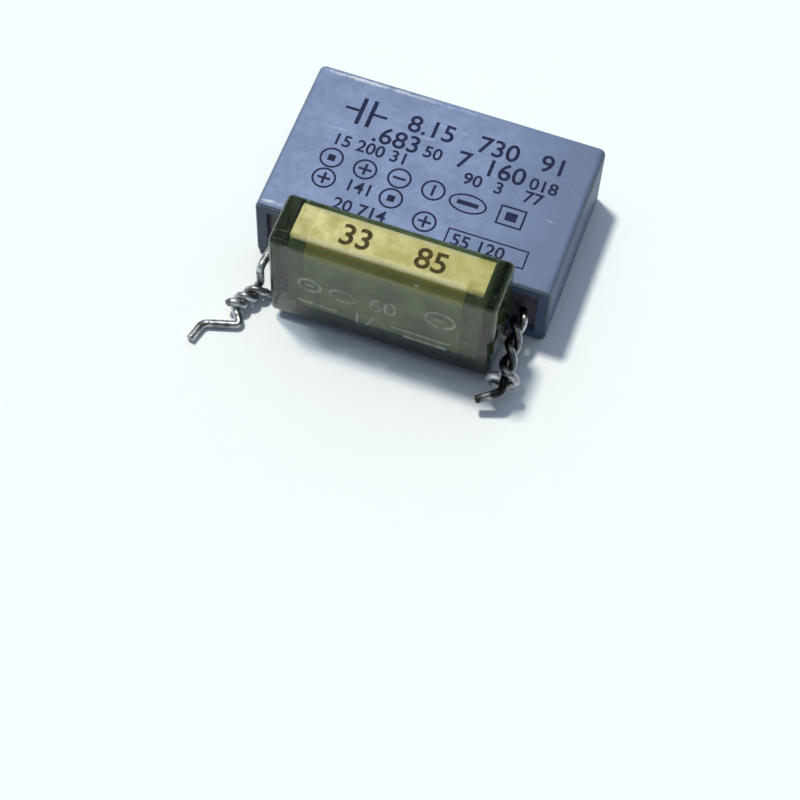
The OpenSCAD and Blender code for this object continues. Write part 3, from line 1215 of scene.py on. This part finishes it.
def tube(route: Sequence[Vector], radius: float, sides: int, bevel: float) -> Shape:
    """Sweeps a round wire with bevelled ends along a route.

    Args:
        route: The points along its middle.
        radius: The wire's radius.
        sides: The number of sides of its section.
        bevel: The bevel of its cut ends.

    Returns:
        The closed shape.
    """
    points = [p for i, p in enumerate(route) if i == 0 or (p - route[i - 1]).length > POINT_GAP]
    first, last = points[0], points[-1]
    lead_in = first + bevel * (points[1] - first).normalized()
    lead_out = last + bevel * (points[-2] - last).normalized()
    points = [first, lead_in, *points[1:-1], lead_out, last]
    radii = [radius - bevel, *[radius] * (len(points) - 2), radius - bevel]
    turns = [math.tau * j / sides for j in range(sides)]
    shape = bmesh.new()
    rings = []
    across = (points[1] - points[0]).orthogonal().normalized()
    for i, (point, size) in enumerate(zip(points, radii)):
        ahead = (points[min(i + 1, len(points) - 1)] - points[max(i - 1, 0)]).normalized()
        across = (across - across.dot(ahead) * ahead).normalized()
        beside = ahead.cross(across)
        section = [point + size * (math.cos(t) * across + math.sin(t) * beside) for t in turns]
        rings.append([shape.verts.new(place) for place in section])
    for ring, after in zip(rings, rings[1:]):
        join_rows(shape, ring, after)
    shape.faces.new(reversed(rings[0]))
    shape.faces.new(rings[-1])
    return shape


@dataclass
class TwistedLeads:
    """The four tinned leads, twisted in pairs beside the block's ends."""

    case: Extent
    block: Extent
    paper: Extent
    wire_d: float = WIRE_D
    wire_slim: float = 0.006
    cut_bevel: float = 0.035
    sides: int = 24
    turn_steps: int = 48
    potting_recess: float = 0.35
    box_pitch: float = 15.0
    box_lead_depth: float = 6.5
    block_pitch: float = BLOCK_PITCH
    block_lead_depth: float = BLOCK_LEAD_DEPTH
    table_gap: float = 0.05
    fit_gap: float = FIT_GAP
    entry_l: float = 0.3
    turns: float = 1.25
    lead_bend: float = 0.45
    tail_bend: float = 0.35
    right_gap: float = 0.1
    right_run_in: float = 0.75
    right_lay: float = 5.5
    right_swing: float = 6.0
    right_dip: float = 6.0
    ring_r: float = 0.9
    ring_lay: float = 1.1
    ring_turns: float = 0.95
    ring_grow: float = 0.5
    right_reach_l: float = 0.95
    right_end_l: float = 1.6
    right_end_ahead: float = 0.5
    right_end_drop: float = 0.5
    left_gap: float = 1.0
    left_back: float = 1.1
    left_lay: float = 3.0
    left_swing: float = 33.0
    left_dip: float = 0.0
    left_float: float = 0.2
    curl_turns: float = 0.2
    tail_lean: float = 0.35
    tail_kick_l: float = 1.15
    tail_run_l: float = 2.2
    tail_run_turn: float = 17.0
    tail_end_l: float = 1.3
    tail_end_turn: float = 13.0

    @property
    def twist_r(self) -> float:
        """The distance from a twist's axis to its leads."""
        return self.wire_d / 2 + self.fit_gap

    @property
    def low_z(self) -> float:
        """The middle of a wire that lies near the table."""
        return self.table_gap + self.wire_d / 2

    def twist(self, side: Side, start: Vector, lay: float, swing: float, dip: float) -> Twist:
        """Makes the twist of one side.

        Args:
            side: The side of the pair.
            start: Where its axis starts.
            lay: The length of one turn, in wire diameters.
            swing: How far the axis swings outwards, in degrees.
            dip: How far the axis slopes down, in degrees.

        Returns:
            The twist, which winds upwards on the side that faces the block.
        """
        out, down = math.radians(swing), math.radians(dip)
        level = math.cos(down)
        axis = Vector((side.value * math.sin(out) * level, -math.cos(out) * level, -math.sin(down)))
        inner = Vector((-side.value * math.cos(out), -math.sin(out), 0))
        rise = inner.cross(axis) * side.value
        return Twist(start, axis, inner, rise, lay * self.wire_d, self.twist_r)

    def right_twist(self) -> Twist:
        """Makes the twist beside the block's right end.

        Returns:
            The twist, at the height of the box's leads.
        """
        reach = self.twist_r + self.wire_d / 2
        x = self.block.high.x + self.right_gap + reach
        start = Vector((x, self.case.low.y - self.right_run_in, self.case.middle.z))
        return self.twist(Side.RIGHT, start, self.right_lay, self.right_swing, self.right_dip)

    def left_twist(self) -> Twist:
        """Makes the twist beside the block's left end.

        Returns:
            The twist, near the table.
        """
        z = self.table_gap + self.twist_r + self.wire_d / 2 + self.left_float
        start = Vector((self.block.low.x - self.left_gap, self.block.low.y + self.left_back, z))
        return self.twist(Side.LEFT, start, self.left_lay, self.left_swing, self.left_dip)

    def box_start(self, side: Side) -> list[Vector]:
        """Finds the ends of a box lead's straight length.

        Args:
            side: The side of the pair.

        Returns:
            Its ends inside the potting and at the rim.
        """
        x = side.value * self.box_pitch / 2
        inside = self.case.low.y + self.potting_recess + self.box_lead_depth
        return [Vector((x, y, self.case.middle.z)) for y in (inside, self.case.low.y)]

    def block_start(self, side: Side) -> list[Vector]:
        """Finds the ends of a block lead's straight length.

        Args:
            side: The side of the pair.

        Returns:
            Its ends inside the roll's end and under the block.
        """
        x = self.block.middle.x + side.value * self.block_pitch / 2
        inside = self.block.low.z + self.block_lead_depth
        return [Vector((x, self.paper.middle.y, z)) for z in (inside, self.low_z)]

    def box_left(self) -> list[Vector]:
        """Runs the box's left lead down to the table, through the twist and out as a tail.

        Returns:
            The lead's route.
        """
        twist = self.left_twist()
        inside, rim = self.box_start(Side.LEFT)
        entry = twist.entry(Strand.BOX, self.entry_l)
        over = Vector((entry.x, entry.y, rim.z))
        route = bent([inside, rim, over, entry, twist.strand(Strand.BOX, 0)], self.lead_bend)
        route += twist.run(Strand.BOX, 0, self.turns, self.turn_steps)
        kick = (twist.inner + self.tail_lean * twist.axis).normalized()
        corner = route[-1] + self.tail_kick_l * kick
        corner.z = self.low_z
        run, end = math.radians(self.tail_run_turn), math.radians(self.tail_end_turn)
        knee = corner - self.tail_run_l * Vector((math.cos(run), math.sin(run), 0))
        tip = knee - self.tail_end_l * Vector((math.sin(end), math.cos(end), 0))
        return route[:-1] + bent([route[-1], corner, knee, tip], self.tail_bend)

    def box_right(self) -> list[Vector]:
        """Runs the box's right lead through the twist and the ring to a short free end.

        Returns:
            The lead's route.
        """
        twist = self.right_twist()
        inside, rim = self.box_start(Side.RIGHT)
        entry = twist.entry(Strand.BOX, self.entry_l)
        route = bent([inside, rim, entry, twist.strand(Strand.BOX, 0)], self.lead_bend)
        route += twist.run(Strand.BOX, 0, self.turns, self.turn_steps)
        corner = route[-1] + self.right_reach_l * twist.axis
        away = Vector((-1, -self.right_end_ahead, -self.right_end_drop)).normalized()
        return route[:-1] + bent([route[-1], corner, corner + self.right_end_l * away], self.tail_bend)

    def block_run_out(self, side: Side, twist: Twist) -> list[Vector]:
        """Runs a block lead out under the block, up and through its twist.

        Args:
            side: The side of the pair.
            twist: The twist of that side.

        Returns:
            The lead's route up to the twist's end.
        """
        inside, turn = self.block_start(side)
        entry = twist.entry(Strand.BLOCK, self.entry_l)
        under = Vector((entry.x, entry.y, self.low_z))
        route = bent([inside, turn, under, entry, twist.strand(Strand.BLOCK, 0)], self.lead_bend)
        return route + twist.run(Strand.BLOCK, 0, self.turns, self.turn_steps)

    def block_left(self) -> list[Vector]:
        """Runs the block's left lead through the twist to a short curl.

        Returns:
            The lead's route.
        """
        twist = self.left_twist()
        curl = twist.run(Strand.BLOCK, self.turns, self.turns + self.curl_turns, self.turn_steps)
        return self.block_run_out(Side.LEFT, twist) + curl

    def block_right(self) -> list[Vector]:
        """Runs the block's right lead through the twist to a loose ring round the box's lead.

        Returns:
            The lead's route.
        """
        twist = self.right_twist()
        route = self.block_run_out(Side.RIGHT, twist)
        count = math.ceil(self.ring_turns * self.turn_steps)
        for i in range(1, count + 1):
            more = self.ring_turns * i / count
            grown = ease(more / self.ring_grow)
            radius = self.twist_r + (self.ring_r - self.twist_r) * grown
            advance = self.turns * twist.step + more * self.ring_lay * self.wire_d
            route.append(twist.at(Strand.BLOCK.value + FULL_TURN * (self.turns + more), advance, radius))
        return route

    def build(self) -> list[bpy.types.Object]:
        """Builds the four wires in place of their nodes.

        Returns:
            The wires.
        """
        routes = {
            "box_left_lead": self.box_left(),
            "box_right_lead": self.box_right(),
            "block_left_lead": self.block_left(),
            "block_right_lead": self.block_right(),
        }
        tin = TinnedWire("tinned_wire", self.right_twist(), routes["box_right_lead"][-1]).material()
        wires = []
        for node, route in routes.items():
            shape = tube(route, self.wire_d / 2 - self.wire_slim, self.sides, self.cut_bevel)
            wire = add_piece(f"{node}_wire", mesh_of(shape), [tin])
            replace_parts(wire, node)
            wires.append(wire)
        return wires


def ellipse(middle: Vector, half: Vector, count: int = 48) -> list[Vector]:
    """Lists the points of an ellipse."""
    turns = [math.tau * i / count for i in range(count)]
    return [middle + Vector((half.x * math.cos(t), half.y * math.sin(t), 0)) for t in turns]


def rectangle(middle: Vector, half: Vector) -> list[Vector]:
    """Lists the corners of a rectangle."""
    corners = ((-1, -1), (1, -1), (1, 1), (-1, 1))
    return [middle + Vector((half.x * x, half.y * y, 0)) for x, y in corners]


@dataclass(frozen=True)
class Mark:
    """One shape of a print, in the plane that it lies in.

    A number has its height in size and is drawn from its lower left corner. The other shapes have their
    width and height in size and are drawn round their middle.
    """

    kind: MarkKind
    place: Pair
    size: Pair
    text: str = ""
    stroke: float = 0.12
    bold: float = 0.0

    def outlines(self) -> list[list[Vector]]:
        """Lists the closed outlines of a ring, bar or frame.

        Returns:
            The outer outline, and the inner one of a ring or frame.
        """
        draw = ellipse if self.kind is MarkKind.RING else rectangle
        middle, half = Vector((*self.place, 0)), Vector((*self.size, 0)) / 2
        outer = draw(middle, half)
        if self.kind is MarkKind.BAR:
            return [outer]
        return [outer, draw(middle, half - Vector((self.stroke, self.stroke, 0)))]


def draw_outlines(shape: Shape, outlines: Sequence[Sequence[Vector]], depth: float) -> None:
    """Adds a flat mark with a little thickness to a shape.

    Args:
        shape: The shape to add to.
        outlines: The mark's outer outline, and its inner one if it has a hole.
        depth: The mark's thickness.
    """
    lift = Vector((0, 0, depth))
    walls = [[[shape.verts.new(p + level) for p in line] for level in (Vector(), lift)] for line in outlines]
    for low, high in walls:
        join_rows(shape, low, high)
    for rows in zip(*walls):
        if len(rows) == 1:
            shape.faces.new(rows[0])
        else:
            join_rows(shape, *rows)


def draw_number(shape: Shape, mark: Mark, depth: float) -> None:
    """Adds a plain number with a little thickness to a shape.

    Args:
        shape: The shape to add to.
        mark: The number.
        depth: Its thickness.
    """
    curve = bpy.data.curves.new("digits", "FONT")
    curve.body = mark.text
    curve.size = mark.size[1] / DIGIT_SHARE
    curve.extrude = depth / 2
    curve.offset = mark.bold
    curve.resolution_u = DIGIT_STEPS
    writer = in_scene("digits", curve)
    drawn = writer.evaluated_get(bpy.context.evaluated_depsgraph_get())
    mesh = bpy.data.meshes.new_from_object(drawn)
    mesh.transform(Matrix.Translation((*mark.place, depth / 2)))
    shape.from_mesh(mesh)
    bpy.data.objects.remove(writer)
    bpy.data.curves.remove(curve)
    bpy.data.meshes.remove(mesh)


def draw_marks(marks: Iterable[Mark], depth: float, plane: Matrix) -> bpy.types.Mesh:
    """Draws a print as thin closed shapes.

    Args:
        marks: The print's marks.
        depth: Their thickness.
        plane: Takes the print's plane to its place on the part.

    Returns:
        All the marks in one mesh.
    """
    shape = bmesh.new()
    for mark in marks:
        if mark.kind is MarkKind.NUMBER:
            draw_number(shape, mark, depth)
        else:
            draw_outlines(shape, mark.outlines(), depth)
    bmesh.ops.remove_doubles(shape, verts=shape.verts, dist=MARK_WELD_GAP)
    bmesh.ops.transform(shape, matrix=plane, verts=shape.verts)
    return mesh_of(shape)


@dataclass
class BoxCapacitor:
    """The box capacitor: case, potting, film roll and its print."""

    case: Extent
    shading: bpy.types.NodeTree
    spray_light: Colour = srgb(176, 178, 180)
    spray_dark: Colour = srgb(140, 142, 145)
    ink: Colour = srgb(18, 23, 52)
    thin_ink: Colour = srgb(38, 46, 84)
    ink_depth: float = 0.014
    ink_sunk: float = 0.006
    big_h: float = 1.25
    small_h: float = 0.85
    bold: float = 0.02
    sign_y: float = 2.9
    plate_x: Pair = (-5.5, -4.85)
    plate_size: Pair = (0.26, 2.0)
    line_x: Pair = (-6.05, -4.3)
    line_size: Pair = (0.85, 0.18)
    ring_d: float = 1.45
    ring_stroke: float = 0.13

    def numbers(self) -> list[Mark]:
        """Lists the rows of plain numbers.

        Returns:
            The numbers' marks.
        """
        # The foot of a row, the height of its digits, and where each number starts
        rows = [
            (2.55, self.big_h, ((-2.6, "8.15"), (1.75, "730"), (5.6, "91"))),
            (1.1, self.big_h, ((-4.3, ".683"), (0.9, "7"), (2.6, "160"))),
            (1.1, self.small_h, ((-1.1, "50"), (5.45, "018"))),
            (0.1, self.small_h, ((-6.4, "15 200 31"), (1.7, "90"), (3.6, "3"), (5.4, "77"))),
            (-2.75, self.small_h, ((-4.6, "141"),)),
            (-4.2, self.small_h, ((-4.8, "20 714"), (2.4, "55"), (3.9, "120"))),
        ]
        return [
            Mark(MarkKind.NUMBER, (x, y), (0, height), text, bold=self.bold)
            for y, height, words in rows
            for x, text in words
        ]

    def sign(self) -> list[Mark]:
        """Draws the plain circuit sign for a capacitor: two plates and two lines."""
        bars = [(x, self.plate_size) for x in self.plate_x] + [(x, self.line_size) for x in self.line_x]
        return [Mark(MarkKind.BAR, (x, self.sign_y), size) for x, size in bars]

    def rings(self) -> list[Mark]:
        """Lists the rings and frames, with a plain shape of bars in each.

        Returns:
            Their marks.
        """
        # The lift above a ring's middle, the width and the height of each bar in it
        dot, dash, post = [(0, 0.45, 0.45)], [(0, 0.8, 0.16)], [(0, 0.16, 0.8)]
        cross = dash + [(-0.24, 0.16, 0.32), (0.24, 0.16, 0.32)]
        # The middle of each ring, and the bars in it
        spots = [
            (-5.97, -0.9, dot),
            (-3.85, -1.0, cross),
            (-1.76, -0.9, dash),
            (0.37, -1.0, post),
            (-5.9, -2.4, cross),
            (-1.75, -2.4, dot),
            (0.6, -3.25, cross),
        ]
        marks = []
        for x, y, bars in spots:
            marks.append(Mark(MarkKind.RING, (x, y), (self.ring_d, self.ring_d), stroke=self.ring_stroke))
            marks += [Mark(MarkKind.BAR, (x, y + lift), (width, height)) for lift, width, height in bars]
        return marks + [
            Mark(MarkKind.RING, (2.55, -1.2), (2.3, 1.35)),
            Mark(MarkKind.BAR, (2.55, -1.2), (1.3, 0.3)),
            Mark(MarkKind.FRAME, (5.2, -1.2), (1.6, 1.4)),
            Mark(MarkKind.BAR, (5.2, -1.2), (0.7, 0.6)),
            Mark(MarkKind.FRAME, (4.5, -3.75), (4.9, 1.3), stroke=0.1),
        ]

    def build(self) -> list[bpy.types.Object]:
        """Dresses the box's nodes and prints its broad side.

        Returns:
            The dressed nodes and the print.
        """
        sprayed = SprayedMetal("sprayed_metal", self.spray_light, self.spray_dark).material()
        materials = {
            "box_case": MouldedPlastic("moulded_plastic", self.case).material(),
            "box_potting": PottingResin("potting_resin").material(),
            "film_roll": MetallisedFilm("metallised_film").material(),
            "film_roll_left_end": sprayed,
            "film_roll_right_end": sprayed,
        }
        nodes = [dress_node(name, material, self.shading) for name, material in materials.items()]
        plane = Matrix.Translation((0, 0, self.case.high.z - self.ink_sunk))
        mesh = draw_marks(self.sign() + self.numbers() + self.rings(), self.ink_depth, plane)
        ink = PatchyLayer("navy_ink", self.ink, self.thin_ink).material()
        return [*nodes, add_piece("box_print", mesh, [ink])]


def rounded_block(extent: Extent, radius: float, segments: int, lengthwise: bool = False) -> Shape:
    """Makes a block with rounded edges.

    Args:
        extent: The block's corners.
        radius: The rounding.
        segments: The number of faces across each rounded edge.
        lengthwise: Whether only the edges along X are rounded.

    Returns:
        The closed shape.
    """
    shape = bmesh.new()
    place = Matrix.Translation(extent.middle) @ Matrix.Diagonal((*(extent.high - extent.low), 1))
    bmesh.ops.create_cube(shape, size=1.0, matrix=place)
    edges = shape.edges[:]
    if lengthwise:
        edges = [edge for edge in edges if abs((edge.verts[0].co - edge.verts[1].co).x) > radius]
    rounding = {"offset": radius, "segments": segments, "profile": ROUND_PROFILE}
    bmesh.ops.bevel(shape, geom=edges, affect="EDGES", **rounding)
    return shape


def for_cutting(shape: Shape) -> bpy.types.Object:
    """Puts a shape in the scene for a cut, and frees the shape.

    Args:
        shape: The block or a cutter.

    Returns:
        The new object.
    """
    bmesh.ops.recalc_face_normals(shape, faces=shape.faces)
    mesh = bpy.data.meshes.new("cut")
    shape.to_mesh(mesh)
    shape.free()
    return in_scene("cut", mesh)


def cut_away(block: Shape, cutters: Sequence[Shape]) -> Shape:
    """Cuts shapes out of a block.

    Args:
        block: The block.
        cutters: What is cut out of it.

    Returns:
        What is left of the block. The given shapes are freed.
    """
    target = for_cutting(block)
    tools = [for_cutting(cutter) for cutter in cutters]
    for tool in tools:
        modifier = target.modifiers.new("cut", "BOOLEAN")
        modifier.operation = "DIFFERENCE"
        modifier.solver = "EXACT"
        modifier.object = tool
    mesh = bpy.data.meshes.new_from_object(target.evaluated_get(bpy.context.evaluated_depsgraph_get()))
    left = bmesh.new()
    left.from_mesh(mesh)
    bpy.data.meshes.remove(mesh)
    for thing in (target, *tools):
        bpy.data.meshes.remove(thing.data)
    return left


@dataclass
class BlockCapacitor:
    """The block capacitor: resin block, paper roll, sprayed ends and their marks."""

    block: Extent
    paper: Extent
    left_end: Extent
    right_end: Extent
    shading: bpy.types.NodeTree
    # A darker tone for the right sprayed end.
    right_end_light: Colour = srgb(197, 189, 131)
    right_end_dark: Colour = srgb(173, 166, 102)
    chip: Colour = srgb(150, 154, 141)
    chip_dark: Colour = srgb(92, 100, 84)
    frost: Colour = srgb(214, 221, 204)
    thin_frost: Colour = srgb(170, 180, 160)
    ink: Colour = srgb(46, 40, 10)
    thin_ink: Colour = srgb(84, 76, 30)
    resin_gloss: float = 0.5
    resin_sharp: float = 35.0
    edge_r: float = 0.35
    edge_segments: int = 8
    roll_r: float = 0.4
    roll_segments: int = 8
    fit_gap: float = FIT_GAP
    lead_d: float = WIRE_D
    hole_sides: int = 32
    block_pitch: float = BLOCK_PITCH
    lead_depth: float = BLOCK_LEAD_DEPTH
    skin_depth: float = 0.18
    underside_h: float = 0.02
    nick_x: float = 2.15
    nick_r: float = 0.24
    nick_stretch: Triple = (1.6, 0.8, 0.7)
    nick_tilt: float = 35.0
    nick_reach: float = 1.7
    nick_detail: int = 2
    ink_depth: float = 0.012
    ink_sunk: float = 0.004
    number_h: float = 1.4
    number_bold: float = 0.035
    relief_depth: float = 0.05
    relief_sunk: float = 0.02

    @property
    def roll(self) -> Extent:
        """The extent of the roll with its sprayed ends."""
        return Extent(self.left_end.low, self.right_end.high)

    @property
    def nick_place(self) -> Vector:
        """The middle of the small chip, on the front upper edge."""
        return Vector((self.nick_x, self.block.low.y, self.block.high.z))

    def hollow(self) -> Shape:
        """Makes the space that the roll and its sprayed ends fill.

        Returns:
            The closed shape.
        """
        gap = Vector((self.fit_gap,) * 3)
        space = Extent(self.roll.low - gap, self.roll.high + gap)
        return rounded_block(space, self.roll_r + self.fit_gap, self.roll_segments, lengthwise=True)

    def lead_hole(self, side: Side) -> Shape:
        """Makes the hole that a lead comes out of.

        Args:
            side: The side of the pair.

        Returns:
            The closed shape.
        """
        x = self.block.middle.x + side.value * self.block_pitch / 2
        foot = Vector((x, self.paper.middle.y, self.block.low.z - self.lead_d))
        top = Vector((x, self.paper.middle.y, self.block.low.z + self.lead_depth + self.fit_gap))
        return tube([foot, foot.lerp(top, 0.5), top], self.lead_d / 2 + self.fit_gap, self.hole_sides, 0.0)

    def nick(self) -> Shape:
        """Makes the small chip in the front upper edge.

        Returns:
            The closed shape.
        """
        shape = bmesh.new()
        turn = Matrix.Rotation(math.radians(self.nick_tilt), 4, "X")
        matrix = Matrix.Translation(self.nick_place) @ turn @ Matrix.Diagonal((*self.nick_stretch, 1))
        bmesh.ops.create_icosphere(shape, subdivisions=self.nick_detail, radius=self.nick_r, matrix=matrix)
        return shape

    def resin_face(self, place: Vector) -> ResinFace:
        """Tells what kind of face the resin has at a place.

        Args:
            place: The middle of the face.

        Returns:
            The kind of face.
        """
        offset = place - self.block.middle
        depth = min(half - abs(part) for half, part in zip(self.block.half, offset))
        if place.z - self.block.low.z < self.underside_h:
            return ResinFace.UNDERSIDE
        if (place - self.nick_place).length < self.nick_r * self.nick_reach:
            return ResinFace.CHIP
        return ResinFace.SEAM if depth > self.skin_depth else ResinFace.SKIN

    def resin(self) -> bpy.types.Object:
        """Builds the resin block round its hollow.

        Returns:
            The block, which replaces its node.
        """
        skin = rounded_block(self.block, self.edge_r, self.edge_segments)
        shape = cut_away(skin, [self.hollow(), *[self.lead_hole(side) for side in Side], self.nick()])
        for face in shape.faces:
            face.material_index = self.resin_face(face.calc_center_median()).value
        finishes = {
            ResinFace.SKIN: ClearResin("clear_resin", self.block),
            ResinFace.SEAM: ResinSeam("resin_seam"),
            ResinFace.CHIP: PatchyLayer("chipped_resin", self.chip, self.chip_dark, self.resin_gloss),
            ResinFace.UNDERSIDE: CastUnderside("cast_underside", self.block),
        }
        materials = [finishes[kind].material() for kind in ResinFace]
        piece = add_piece("resin_block", mesh_of(shape, self.resin_sharp), materials)
        piece.modifiers.new("flat_faces", "WEIGHTED_NORMAL").keep_sharp = True
        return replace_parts(piece, "block_body")

    def strip_numbers(self) -> bpy.types.Object:
        """Prints two plain numbers on the top of the roll.

        Returns:
            The print.
        """
        y, size = self.paper.middle.y - self.number_h / 2, (0, self.number_h)
        words = ((-3.0, "33"), (1.45, "85"))
        marks = [Mark(MarkKind.NUMBER, (x, y), size, text, bold=self.number_bold) for x, text in words]
        plane = Matrix.Translation((0, 0, self.paper.high.z - self.ink_sunk))
        ink = PatchyLayer("olive_ink", self.ink, self.thin_ink).material()
        mesh = draw_marks(marks, self.ink_depth, plane)
        return add_piece("roll_print", mesh, [ink])

    def relief(self) -> bpy.types.Object:
        """Raises plain marks on the block's front.

        Returns:
            The marks.
        """
        marks = [
            Mark(MarkKind.RING, (-4.1, 4.7), (1.5, 1.3), stroke=0.16),
            Mark(MarkKind.BAR, (-4.1, 4.7), (0.5, 0.16)),
            Mark(MarkKind.RING, (-2.1, 4.6), (1.7, 1.2), stroke=0.16),
            Mark(MarkKind.NUMBER, (-0.6, 4.2), (0, 1.3), "60"),
            Mark(MarkKind.RING, (3.7, 5.3), (1.9, 1.6), stroke=0.18),
            Mark(MarkKind.BAR, (3.7, 5.3), (0.9, 0.18)),
            Mark(MarkKind.BAR, (-3.6, 2.9), (2.4, 0.22)),
            Mark(MarkKind.NUMBER, (-1.6, 2.4), (0, 1.1), "17"),
            Mark(MarkKind.BAR, (2.6, 3.1), (3.6, 0.22)),
            Mark(MarkKind.BAR, (2.9, 2.5), (2.6, 0.22)),
        ]
        upright = Matrix.Rotation(math.radians(FULL_TURN / 4), 4, "X")
        plane = Matrix.Translation((0, self.block.low.y + self.relief_sunk, 0)) @ upright
        mesh = draw_marks(marks, self.relief_depth, plane)
        frosted = PatchyLayer("frosted_resin", self.frost, self.thin_frost, self.resin_gloss).material()
        return add_piece("block_relief", mesh, [frosted])

    def build(self) -> list[bpy.types.Object]:
        """Builds the block and dresses what it holds.

        Returns:
            The dressed nodes, the block and its marks.
        """
        finishes = {
            "paper_roll": MetallisedPaper("metallised_paper", self.roll),
            "paper_roll_left_end": SprayedMetal("pale_sprayed_metal"),
            "paper_roll_right_end": SprayedMetal("darker_sprayed_metal", self.right_end_light, self.right_end_dark),
        }
        nodes = [dress_node(name, finish.material(), self.shading) for name, finish in finishes.items()]
        return [*nodes, self.resin(), self.strip_numbers(), self.relief()]


@dataclass
class Studio:
    """The floor, the light and the camera."""

    floor_half: float = 1500.0
    floor_drop: float = 0.01
    sun_from: Triple = (-0.33, 0.19, 1.0)
    sun_angle: float = 7.0
    sun_strength: float = 2.46
    sun_colour: Triple = (1.0, 0.96, 0.85)
    fill: Colour = (0.54, 0.6, 0.76, 1.0)
    fill_power: float = 2.0
    fill_lean: float = 0.8
    horizon: Colour = (0.92, 0.988, 0.99, 1.0)
    ceiling: Colour = (0.16, 0.17, 0.2, 1.0)
    ceiling_edge: Pair = (0.14, 0.4)
    eye: Triple = (19.946, -69.705, 106.5)
    target: Triple = (2.429, -12.145, 0.0)
    roll: float = 3.097
    lens: float = 95.66
    sensor: float = 36.0

    def floor(self) -> bpy.types.Object:
        """Lays the pale sheet under the pair.

        Returns:
            The sheet.
        """
        shape = bmesh.new()
        half = Vector((self.floor_half, self.floor_half, 0))
        drop = Vector((0, 0, -self.floor_drop))
        shape.faces.new([shape.verts.new(p) for p in rectangle(drop, half)])
        sheet = in_scene("floor", mesh_of(shape))
        sheet.data.materials.append(FloorPaper("floor_paper").material())
        return sheet

    def sun(self) -> None:
        """Hangs a soft warm light at the upper left, a little behind the pair."""
        lamp = bpy.data.lights.new("sun", "SUN")
        lamp.energy = self.sun_strength
        lamp.angle = math.radians(self.sun_angle)
        lamp.color = self.sun_colour
        in_scene("sun", lamp).rotation_euler = Vector(self.sun_from).to_track_quat("Z", "Y").to_euler()

    def world(self) -> None:
        """Fills the room with cool light, with a pale horizon and a dim ceiling to be seen in gloss."""
        world = bpy.data.worlds.new("room")
        world.use_nodes = True
        bpy.context.scene.world = world
        board = NodeBoard(world.node_tree)
        _, back, height = board.parts(board.add("ShaderNodeTexCoord").outputs["Generated"])
        above = board.math("POWER", board.math("MAXIMUM", height, 0.0), self.fill_power)
        behind = board.math("MAXIMUM", board.math("MULTIPLY_ADD", back, self.fill_lean, 1.0), 0.0)
        light = world.node_tree.nodes["Background"]
        board.fill(light, {"Color": self.fill, "Strength": board.math("MULTIPLY", above, behind)})
        seen = board.blend(board.ramp(height, *self.ceiling_edge), self.horizon, self.ceiling)
        room = board.add("ShaderNodeBackground", {"Color": seen})
        path = board.add("ShaderNodeLightPath").outputs
        shown = board.math("MAXIMUM", path["Is Camera Ray"], path["Is Glossy Ray"])
        shown = board.math("MAXIMUM", shown, path["Is Transmission Ray"])
        mixed = board.either(shown, light.outputs["Background"], room.outputs["Background"])
        board.fill(world.node_tree.nodes["World Output"], {"Surface": mixed})

    def camera(self) -> None:
        """Sets the camera where the photograph was taken from."""
        data = bpy.data.cameras.new("camera")
        data.lens = self.lens
        data.sensor_width = self.sensor
        data.clip_start = MM
        eye, target = Vector(self.eye) * MM, Vector(self.target) * MM
        turn = (target - eye).to_track_quat("-Z", "Y").to_matrix().to_4x4()
        roll = Matrix.Rotation(math.radians(self.roll), 4, "Z")
        holder = in_scene("camera", data)
        holder.matrix_world = Matrix.Translation(eye) @ turn @ roll
        bpy.context.scene.camera = holder

    def build(self) -> list[bpy.types.Object]:
        """Sets up the floor, the light and the camera.

        Returns:
            The floor.
        """
        bpy.context.scene.view_settings.view_transform = "Standard"
        sheet = self.floor()
        self.sun()
        self.world()
        self.camera()
        return [sheet]


def main() -> None:
    """Builds the pair's looks, from the camera to the print, and reports each piece."""
    logging.basicConfig(level=logging.INFO, format="%(name)s %(message)s")
    case, block, paper = (Extent.of(node) for node in ("box_case", "block_body", "paper_roll"))
    ends = [Extent.of(node) for node in ("paper_roll_left_end", "paper_roll_right_end")]
    shading = soft_shading()
    assemblies = (
        Studio(),
        TwistedLeads(case, block, paper),
        BoxCapacitor(case, shading),
        BlockCapacitor(block, paper, *ends, shading),
    )
    for assembly in assemblies:
        for piece in assembly.build():
            LOG.info("%s: %d faces", piece.name, len(piece.data.polygons))


if __name__ == "__main__":
    main()
